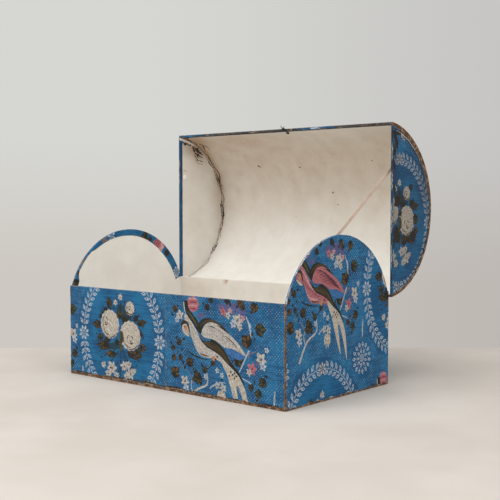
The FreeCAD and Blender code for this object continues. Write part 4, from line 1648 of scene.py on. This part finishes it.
def lid_linings():
    half = math.degrees(math.acos((RIM_Y - DOME_Y) / DOME_IN))
    section = Fold(arc(DOME_IN, half - 1.0, -half + 0.3, (DOME_Y, DOME_Z), 0.25))
    x = LID_IN_X - 0.2
    end = section.length
    corners = [(16 - x, 0), (x, 0), (x, end), (-x, end), (-x, 26), (4 - x, 20), (8 - x, 8)]
    wear = [(0.2, 0.2), (0.1, 0.2), (0.1, 0.3), (0.2, 0.4), (0.4, 0.8), (0.4, 0.8), (0.4, 0.8)]
    outline = worn_outline(corners, wear, 17.0)
    ribs = list(np.arange(3.0, end - 2.0, 4.0))
    # Stains along the torn left seam and in the upper left, and one broad spot across the whole lining
    # that darkens its upper part towards tan: painted shade.
    spots = [
        (10 - x, 20, 26, 24, 0.9),
        (-x, 60, 12, 60, 0.6),
        (-x, 160, 7, 90, 0.5),
        (0, 90, 500, 100, 0.74),
        (-110, 15, 90, 40, 0.35),
        (-x, 290, 5, 60, 0.3),
    ]
    art = seam_cracks(x)
    for u, v, wide, high in (
        (-100, 93, 2.6, 1.9),
        (-97, 96, 1.2, 0.9),
        (-18, 98, 1.8, 1.3),
        (34, 142, 1.7, 1.4),
        (42, 161, 1.3, 1.0),
        (-40, 180, 0.9, 0.7),
        (120, 90, 1.2, 0.9),
    ):
        art.append(("speck", blob(u, v, wide, high, 30, 3, 0.2)))
    piece = make_sheet("dome_lining_sheet", outline, along_x(section, 1), art, lines=level(ribs, -x, x),
                       paper="lining", thick=LINING_THICK, cockle=COCKLE, spots=spots, seed=17.0)
    lining_piece(piece, "lid", "lid_dome_lining")

    for side, word in ((-1, "left"), (1, "right")):
        face = Fold([(-LID_IN_X, 0), (-LID_IN_X, LID_RISE)])
        reach = DOME_IN - 0.25
        half = math.degrees(math.acos((RIM_Y + 1.5 - DOME_Y) / reach))
        outline = worn_outline(arc(reach, -half, half, (DOME_Y, DOME_Z), 3), [(0.05, 0.15)], 18.0 + side)
        # The spot at DOME_Z + 98 darkens each end towards tan at its top.
        spots = [
            (DOME_Y + 108, DOME_Z + 30, 14, 70, 0.5),
            (DOME_Y + 56, DOME_Z + 98, 40, 16, 0.9),
            (DOME_Y + 60, DOME_Z, 90, 160, 0.16),
        ]
        art = torn_corner(reach) if side < 0 else []
        if side > 0:
            outline = anticlockwise(outline * (-1, 1))
            spots = [(-u, *rest) for u, *rest in spots]
        piece = make_sheet("lid_%s_end_lining_sheet" % word, outline, on_lid_end(face, -side), art,
                           paper="lining", thick=LINING_THICK, cockle=0.02, spots=spots,
                           seed=18.0 + side)
        if side < 0:
            loose_strip(piece)
        lining_piece(piece, "lid", "lid_%s_end_lining" % word)


# Boards: the bent one is made anew with worn ends, and the flat ones keep their CAD shapes.
def dome_board():
    """The bent board of the lid, with its edges broken and its ends a little uneven."""
    outer_half = math.acos((RIM_Y - DOME_Y) / DOME_R)
    inner_half = math.acos((RIM_Y - DOME_Y) / DOME_IN)
    count = 96
    share = np.linspace(-1, 1, count)
    verts = []
    for x, inset, inward in (
        (-LID_X, 0.35, 1),
        (-LID_X + 0.4, 0, 1),
        (LID_X - 0.4, 0, -1),
        (LID_X, 0.35, -1),
    ):
        outer = (DOME_R - inset, outer_half * share)
        inner = (DOME_IN + inset, inner_half * share[::-1])
        for radius, angles in (outer, inner):
            for angle in angles:
                wear = 0.5 * abs(noise.noise((angle * 9, radius * 0.02, x * 0.01)))
                y = DOME_Y + radius * math.cos(angle)
                z = DOME_Z + radius * math.sin(angle)
                verts.append(((x + inward * wear) * MM, y * MM, z * MM))
    loop = 2 * count
    faces = []
    for i in range(3):
        for k in range(loop):
            a, b = i * loop + k, i * loop + (k + 1) % loop
            faces.append((a, a + loop, b + loop, b))
    for k in range(count - 1):
        far = loop - 1 - k
        faces.append((k, k + 1, far - 1, far))
        faces.append(tuple(3 * loop + j for j in (far, far - 1, k + 1, k)))
    piece = new_piece("dome_board_shell", verts, faces)
    dress(piece, PASTEBOARD, "pasteboard", "lid", "lid_dome_board")


def boards():
    """The flat boards as CAD has them, with their sharp edges broken."""
    for name, node in frame["nodes"].items():
        if not name.endswith("_board") or name == "lid_dome_board":
            continue
        node.data.materials.clear()
        node.data.materials.append(PASTEBOARD)
        weld = node.modifiers.new("weld", "WELD")
        weld.merge_threshold = 0.01 * MM
        bevel = node.modifiers.new("soft_edges", "BEVEL")
        bevel.width = 0.25 * MM
        bevel.segments = 2
        bevel.limit_method = "ANGLE"
        bevel.angle_limit = math.radians(40)


# Cloth hinge: one strip, pasted up the back, folded at the rim and pasted to the dome.
def hinge_strip():
    skin = HALF_D + PAPER
    leaf_low = limits("hinge_base_leaf")[0]
    fold_r = (RIM_Y - skin) / 2
    cloth_x = -leaf_low[0]
    outer = DOME_R + PAPER
    start = -math.degrees(math.acos((RIM_Y - DOME_Y) / outer))
    leaf_arc = math.degrees((HINGE_Z - leaf_low[2]) / outer)
    top = HINGE_Z + fold_r
    corners = [(skin, leaf_low[2]), (skin, top), (RIM_Y, top)]
    corners += arc(outer, start, start + leaf_arc, (DOME_Y, DOME_Z), 1.5)
    fold = Fold(corners, radius=fold_r * 0.98, steps=8)
    wear = [(0.2, 0.4), (0.2, 0.3), (0.2, 0.4), (0.2, 0.3)]
    outline = worn_outline(oblong(-cloth_x, 0, cloth_x, fold.length), wear, 20.0)
    ribs = list(np.arange(fold.creases[-1] + 2, fold.length, 2.5))
    thick = CLOTH_THICK
    piece = make_sheet("hinge_cloth_strip", outline, along_x(fold, 1),
                       lines=level(ribs, -cloth_x, cloth_x),
                       creases=level(fold.creases, -cloth_x, cloth_x),
                       paper="slate", thick=thick, seed=20.0)
    piece.data.materials.append(HINGE_CLOTH)
    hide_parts("hinge_base_leaf", "hinge_lid_leaf")
    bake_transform(piece)


# Ribbon stay, from the right end of the base to the inside of the dome.
def ribbon_stay():
    low, high = limits("stay_ribbon")
    width = RIBBON_WIDTH
    thick = RIBBON_THICK
    # The slope starts as a guess, and each turn of the loop brings it nearer to the CAD ribbon's.
    slope = 0.6
    for _ in range(6):
        rise = high[2] - low[2] - width * math.cos(slope)
        run = high[1] - low[1] - width * math.sin(slope)
        slope = math.atan2(rise, run)
    way = np.array([0, math.cos(slope), math.sin(slope)])
    across = np.array([0, -math.sin(slope), math.cos(slope)])
    start = np.array([
        high[0] - thick,
        low[1] + width / 2 * math.sin(slope),
        low[2] + width / 2 * math.cos(slope),
    ])
    length = (high[1] - low[1] - width * math.sin(slope)) / math.cos(slope) - 1.5
    rows = 90
    section = [(-0.5, -0.3), (-0.46, -0.5), (0.46, -0.5), (0.5, -0.3)]
    section += [(-wide, -deep) for wide, deep in section]
    verts, flat = [], []
    for i in range(rows + 1):
        along = length * i / rows
        sag = -RIBBON_SAG * math.sin(math.pi * i / rows)
        sway = 0.12 * math.sin(9 * i / rows)
        for wide, deep in section:
            spot = start + way * along + across * (wide * width + sag)
            spot[0] += deep * thick + sway - 0.14
            verts.append(tuple(spot * MM))
            flat.append((along, wide * width, 1.0))
    count = len(section)
    faces = [tuple(range(count))[::-1], tuple(range(rows * count, (rows + 1) * count))]
    for i in range(rows):
        for k in range(count):
            a, b = i * count + k, i * count + (k + 1) % count
            faces.append((a, b, b + count, a + count))
    piece = new_piece("stay_ribbon_strip", verts, faces, sharp=50)
    add_values(piece, "flat", "FLOAT_VECTOR", "POINT", "vector", flat)
    piece.data.materials.append(RIBBON_SILK)
    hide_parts("stay_ribbon")
    for share in np.linspace(0, 1, 21):
        sag = across * -RIBBON_SAG * math.sin(math.pi * share)
    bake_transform(piece)


def patches():
    """Squares of lining paper over the ribbon's two ends."""
    low, high = limits("stay_base_patch")
    middle = [(a + b) / 2 for a, b in zip(low, high)]
    half = PATCH / 2
    across = np.array([0, math.cos(PATCH_SLOPE), math.sin(PATCH_SLOPE)])
    up = np.array([0, -math.sin(PATCH_SLOPE), math.cos(PATCH_SLOPE)])

    def on_base(u, v):
        spot = np.array([high[0] + 0.05, middle[1], middle[2]]) + np.outer(u, across) + np.outer(v, up)
        return spot, np.tile([-1.0, 0.0, 0.0], (len(u), 1))

    outline = worn_outline(oblong(-half, -half, half, half), [(0.3, 0.5)], 22.0, 1.5)
    piece = make_sheet("ribbon_base_patch", outline, on_base, paper="lining",
                       cell=3, thick=PATCH_THICK, cockle=0.05, seed=22.0)
    lining_piece(piece, "base", "stay_base_patch")

    low, high = limits("stay_lid_patch")
    radius = math.hypot(high[1] - DOME_Y, low[2] - DOME_Z)
    first = math.atan2(high[2] - DOME_Z, low[1] - DOME_Y)
    last = math.atan2(low[2] - DOME_Z, high[1] - DOME_Y)
    section = Fold(arc(radius, math.degrees(first), math.degrees(last), (DOME_Y, DOME_Z), 1))
    corners = oblong(low[0], 0, high[0], section.length)
    outline = worn_outline(corners, [(0.3, 0.5)], 23.0, 1.5)
    piece = make_sheet("ribbon_lid_patch", outline, along_x(section, 1), paper="lining",
                       cell=3, thick=PATCH_THICK, cockle=0.02, seed=23.0)
    lining_piece(piece, "lid", "stay_lid_patch")


def tube(line, radius, sides=7):
    """Corners and faces of a closed tube along a line, narrowed at its ends."""
    line = np.array(line, float)
    ways = np.gradient(line, axis=0)
    ways /= np.linalg.norm(ways, axis=1)[:, None]
    first = np.cross(ways[0], (0.3, 0.8, 0.52))
    verts, faces = [], []
    for i, (spot, way) in enumerate(zip(line, ways)):
        first = first - way * (first @ way)
        first /= np.linalg.norm(first)
        second = np.cross(way, first)
        size = radius * (0.55 if i in (0, len(line) - 1) else 1.0)
        for k in range(sides):
            angle = math.tau * k / sides
            verts.append(spot + size * (math.cos(angle) * first + math.sin(angle) * second))
    for i in range(len(line) - 1):
        for k in range(sides):
            a, b = i * sides + k, i * sides + (k + 1) % sides
            faces.append((a, b, b + sides, a + sides))
    faces.append(tuple(range(sides))[::-1])
    faces.append(tuple(range(len(verts) - sides, len(verts))))
    return verts, faces


def smooth_path(points, steps=8):
    """A smooth line in space through a few points."""
    points = np.array(points, float)
    sides = rounded(points[:, :2], steps, closed=False)
    rise = rounded(points[:, [2, 2]], steps, closed=False)[:, :1]
    return np.concatenate([sides, rise], 1)


def thread_tie():
    """Thread sewn twice round the lid's front rim, knotted there, with frayed ends."""
    low, high = limits("lid_thread_tie")
    x = (low[0] + high[0]) / 2
    top = DOME_Z + RIM_HALF + PAPER + 0.35
    front = RIM_Y - PAPER - 0.35
    under = limits("lid_front_fold")[0][2] + 0.2
    deep = RIM_Y + 3.6
    strands = []
    for shift, reach in ((-0.4, 0.0), (0.35, 0.5)):
        ring = [
            (0, deep + reach, top),
            (0.1, front + 1.2, top),
            (0.2, front, top - 0.7),
            (0.2, front, under + 0.8),
            (0.1, front + 1.0, under),
            (0, deep + reach, under - 0.1),
        ]
        strands.append((smooth_path([(x + shift + a, b, c) for a, b, c in ring], 5), THREAD_R))
    knot = []
    for t in np.linspace(0, math.tau * 2, 40):
        knot.append((
            x + 1.2 * math.sin(t) + 0.5 * math.sin(2.5 * t),
            front - 0.2 + 0.7 * math.cos(1.5 * t),
            top - 0.2 + 0.9 * math.cos(t) + 0.3 * math.sin(3 * t),
        ))
    strands.append((np.array(knot), KNOT_R))
    for tip, bend in (
        ((low[0] + 0.2, low[1] + 1.2, high[2] - 0.3), 0.6),
        ((low[0] + 1.6, low[1] + 0.3, high[2] - 2.6), -0.5),
        ((high[0] - 0.3, low[1] + 1.6, high[2] - 1.2), -0.7),
        ((high[0] - 1.2, low[1] + 0.4, top - 1.6), 0.5),
    ):
        middle = ((x + tip[0]) / 2, (front + tip[1]) / 2 - 0.3, (top + tip[2]) / 2 + bend)
        strands.append((smooth_path([(x, front, top), middle, tip], 6), TAIL_R))
    inside = RIM_Y + 7.4
    lined = DOME_Z + math.sqrt(DOME_IN ** 2 - (inside - DOME_Y) ** 2) - LINING_THICK
    run = [
        (x, deep, under - 0.1),
        (x + 0.8, (deep + inside) / 2, (under + lined) / 2 - 0.1),
        (x + 1.6, inside, lined - 0.6),
    ]
    strands.append((smooth_path(run, 5), THREAD_R))
    inner_knot = []
    for t in np.linspace(0, math.tau * 1.6, 30):
        inner_knot.append((
            x + 2.2 + 2.0 * math.sin(t),
            inside + 1.2 * math.cos(1.5 * t),
            lined - 1.6 + 1.0 * math.cos(t),
        ))
    strands.append((np.array(inner_knot), KNOT_R))
    verts, faces = [], []
    for line, radius in strands:
        spots, sides = tube(line, radius)
        faces += [tuple(i + len(verts) for i in side) for side in sides]
        verts += [tuple(spot * MM) for spot in spots]
    piece = new_piece("rim_thread", verts, faces, sharp=180)
    dress(piece, BLACK_THREAD, "black_thread", "lid", "lid_thread_tie")


# Stage, light and camera, in metres and degrees, with the lens and sensor in millimetres.
CAMERA_AT = (0.8862, -0.9908, 0.2491)
CAMERA_YAW = 40.25
CAMERA_DOWN = 2.838
CAMERA_LENS = 67.6
CAMERA_SENSOR = 36.0
FLOOR_NEAR = -0.6
FLOOR_FAR = 1.612
FLOOR_HALF = 2.5


def stage():
    """A pale floor that ends behind the part, square to the camera."""
    yaw = math.radians(CAMERA_YAW)
    ahead = np.array([-math.sin(yaw), math.cos(yaw)])
    right = np.array([math.cos(yaw), math.sin(yaw)])
    eye = np.array(CAMERA_AT[:2])
    verts = []
    for deep, across in ((FLOOR_NEAR, -1), (FLOOR_NEAR, 1), (FLOOR_FAR, 1), (FLOOR_FAR, -1)):
        spot = eye + ahead * deep + right * across * FLOOR_HALF
        verts.append((spot[0], spot[1], 0.0))
    mesh = bpy.data.meshes.new("floor")
    mesh.from_pydata(verts, [], [(0, 1, 2, 3)])
    mesh.materials.append(floor_material())
    floor = bpy.data.objects.new("floor", mesh)
    bpy.context.scene.collection.objects.link(floor)


def camera():
    data = bpy.data.cameras.new("camera")
    data.lens = CAMERA_LENS
    data.sensor_width = CAMERA_SENSOR
    data.clip_start = 0.01
    eye = bpy.data.objects.new("camera", data)
    eye.location = CAMERA_AT
    eye.rotation_euler = (math.radians(90 - CAMERA_DOWN), 0, math.radians(CAMERA_YAW))
    bpy.context.scene.collection.objects.link(eye)
    bpy.context.scene.camera = eye


def area_light(name, at, aim, size, energy, colour):
    data = bpy.data.lights.new(name, "AREA")
    data.size = size
    data.energy = energy
    data.color = colour
    lamp = bpy.data.objects.new(name, data)
    lamp.location = at
    lamp.rotation_euler = (Vector(aim) - Vector(at)).to_track_quat("-Z", "Y").to_euler()
    bpy.context.scene.collection.objects.link(lamp)


def light():
    """Pale walls all round, and three soft lamps."""
    world = bpy.data.worlds.new("studio")
    bpy.context.scene.world = world
    world.use_nodes = True
    net = Nodes(world.node_tree)
    way = net.add("TexCoord").outputs["Generated"]
    to_right = {0: way, 1: (0.765, 0.643, 0.0)}
    across = net.add("VectorMath", to_right, operation="DOT_PRODUCT").outputs["Value"]
    wall = net.mix(net.ramp(across, -0.15, 0.3), rgb(214, 214, 210), rgb(198, 197, 195))
    low = net.ramp(net.add("SeparateXYZ", {0: way}).outputs["Z"], -0.1, 0.08)
    wall = net.mix(low, net.mix(1.0, wall, rgb(244, 238, 234), "MULTIPLY"), wall)
    world.node_tree.links.new(wall, world.node_tree.nodes["Background"].inputs["Color"])
    area_light("overhead", (0.1, -0.5, 1.7), (0, 0, 0.1), 1.6, 16, (1.0, 0.99, 0.97))
    area_light("key", (-0.5, -1.8, 1.2), (0, 0, 0.15), 1.2, 9, (1.0, 0.99, 0.97))
    area_light("fill", (2.2, -0.5, 0.8), (0, 0, 0.15), 1.4, 8, (1.0, 0.99, 0.98))
    bpy.context.scene.view_settings.view_transform = "Standard"


camera()
ribbon_stay()
front_sheets()
end_sheets()
back_sheet()
base_linings()
under_sheet()
dome_sheets()
lid_end_sheets()
lid_linings()
dome_board()
boards()
hinge_strip()
patches()
thread_tie()
stage()
light()
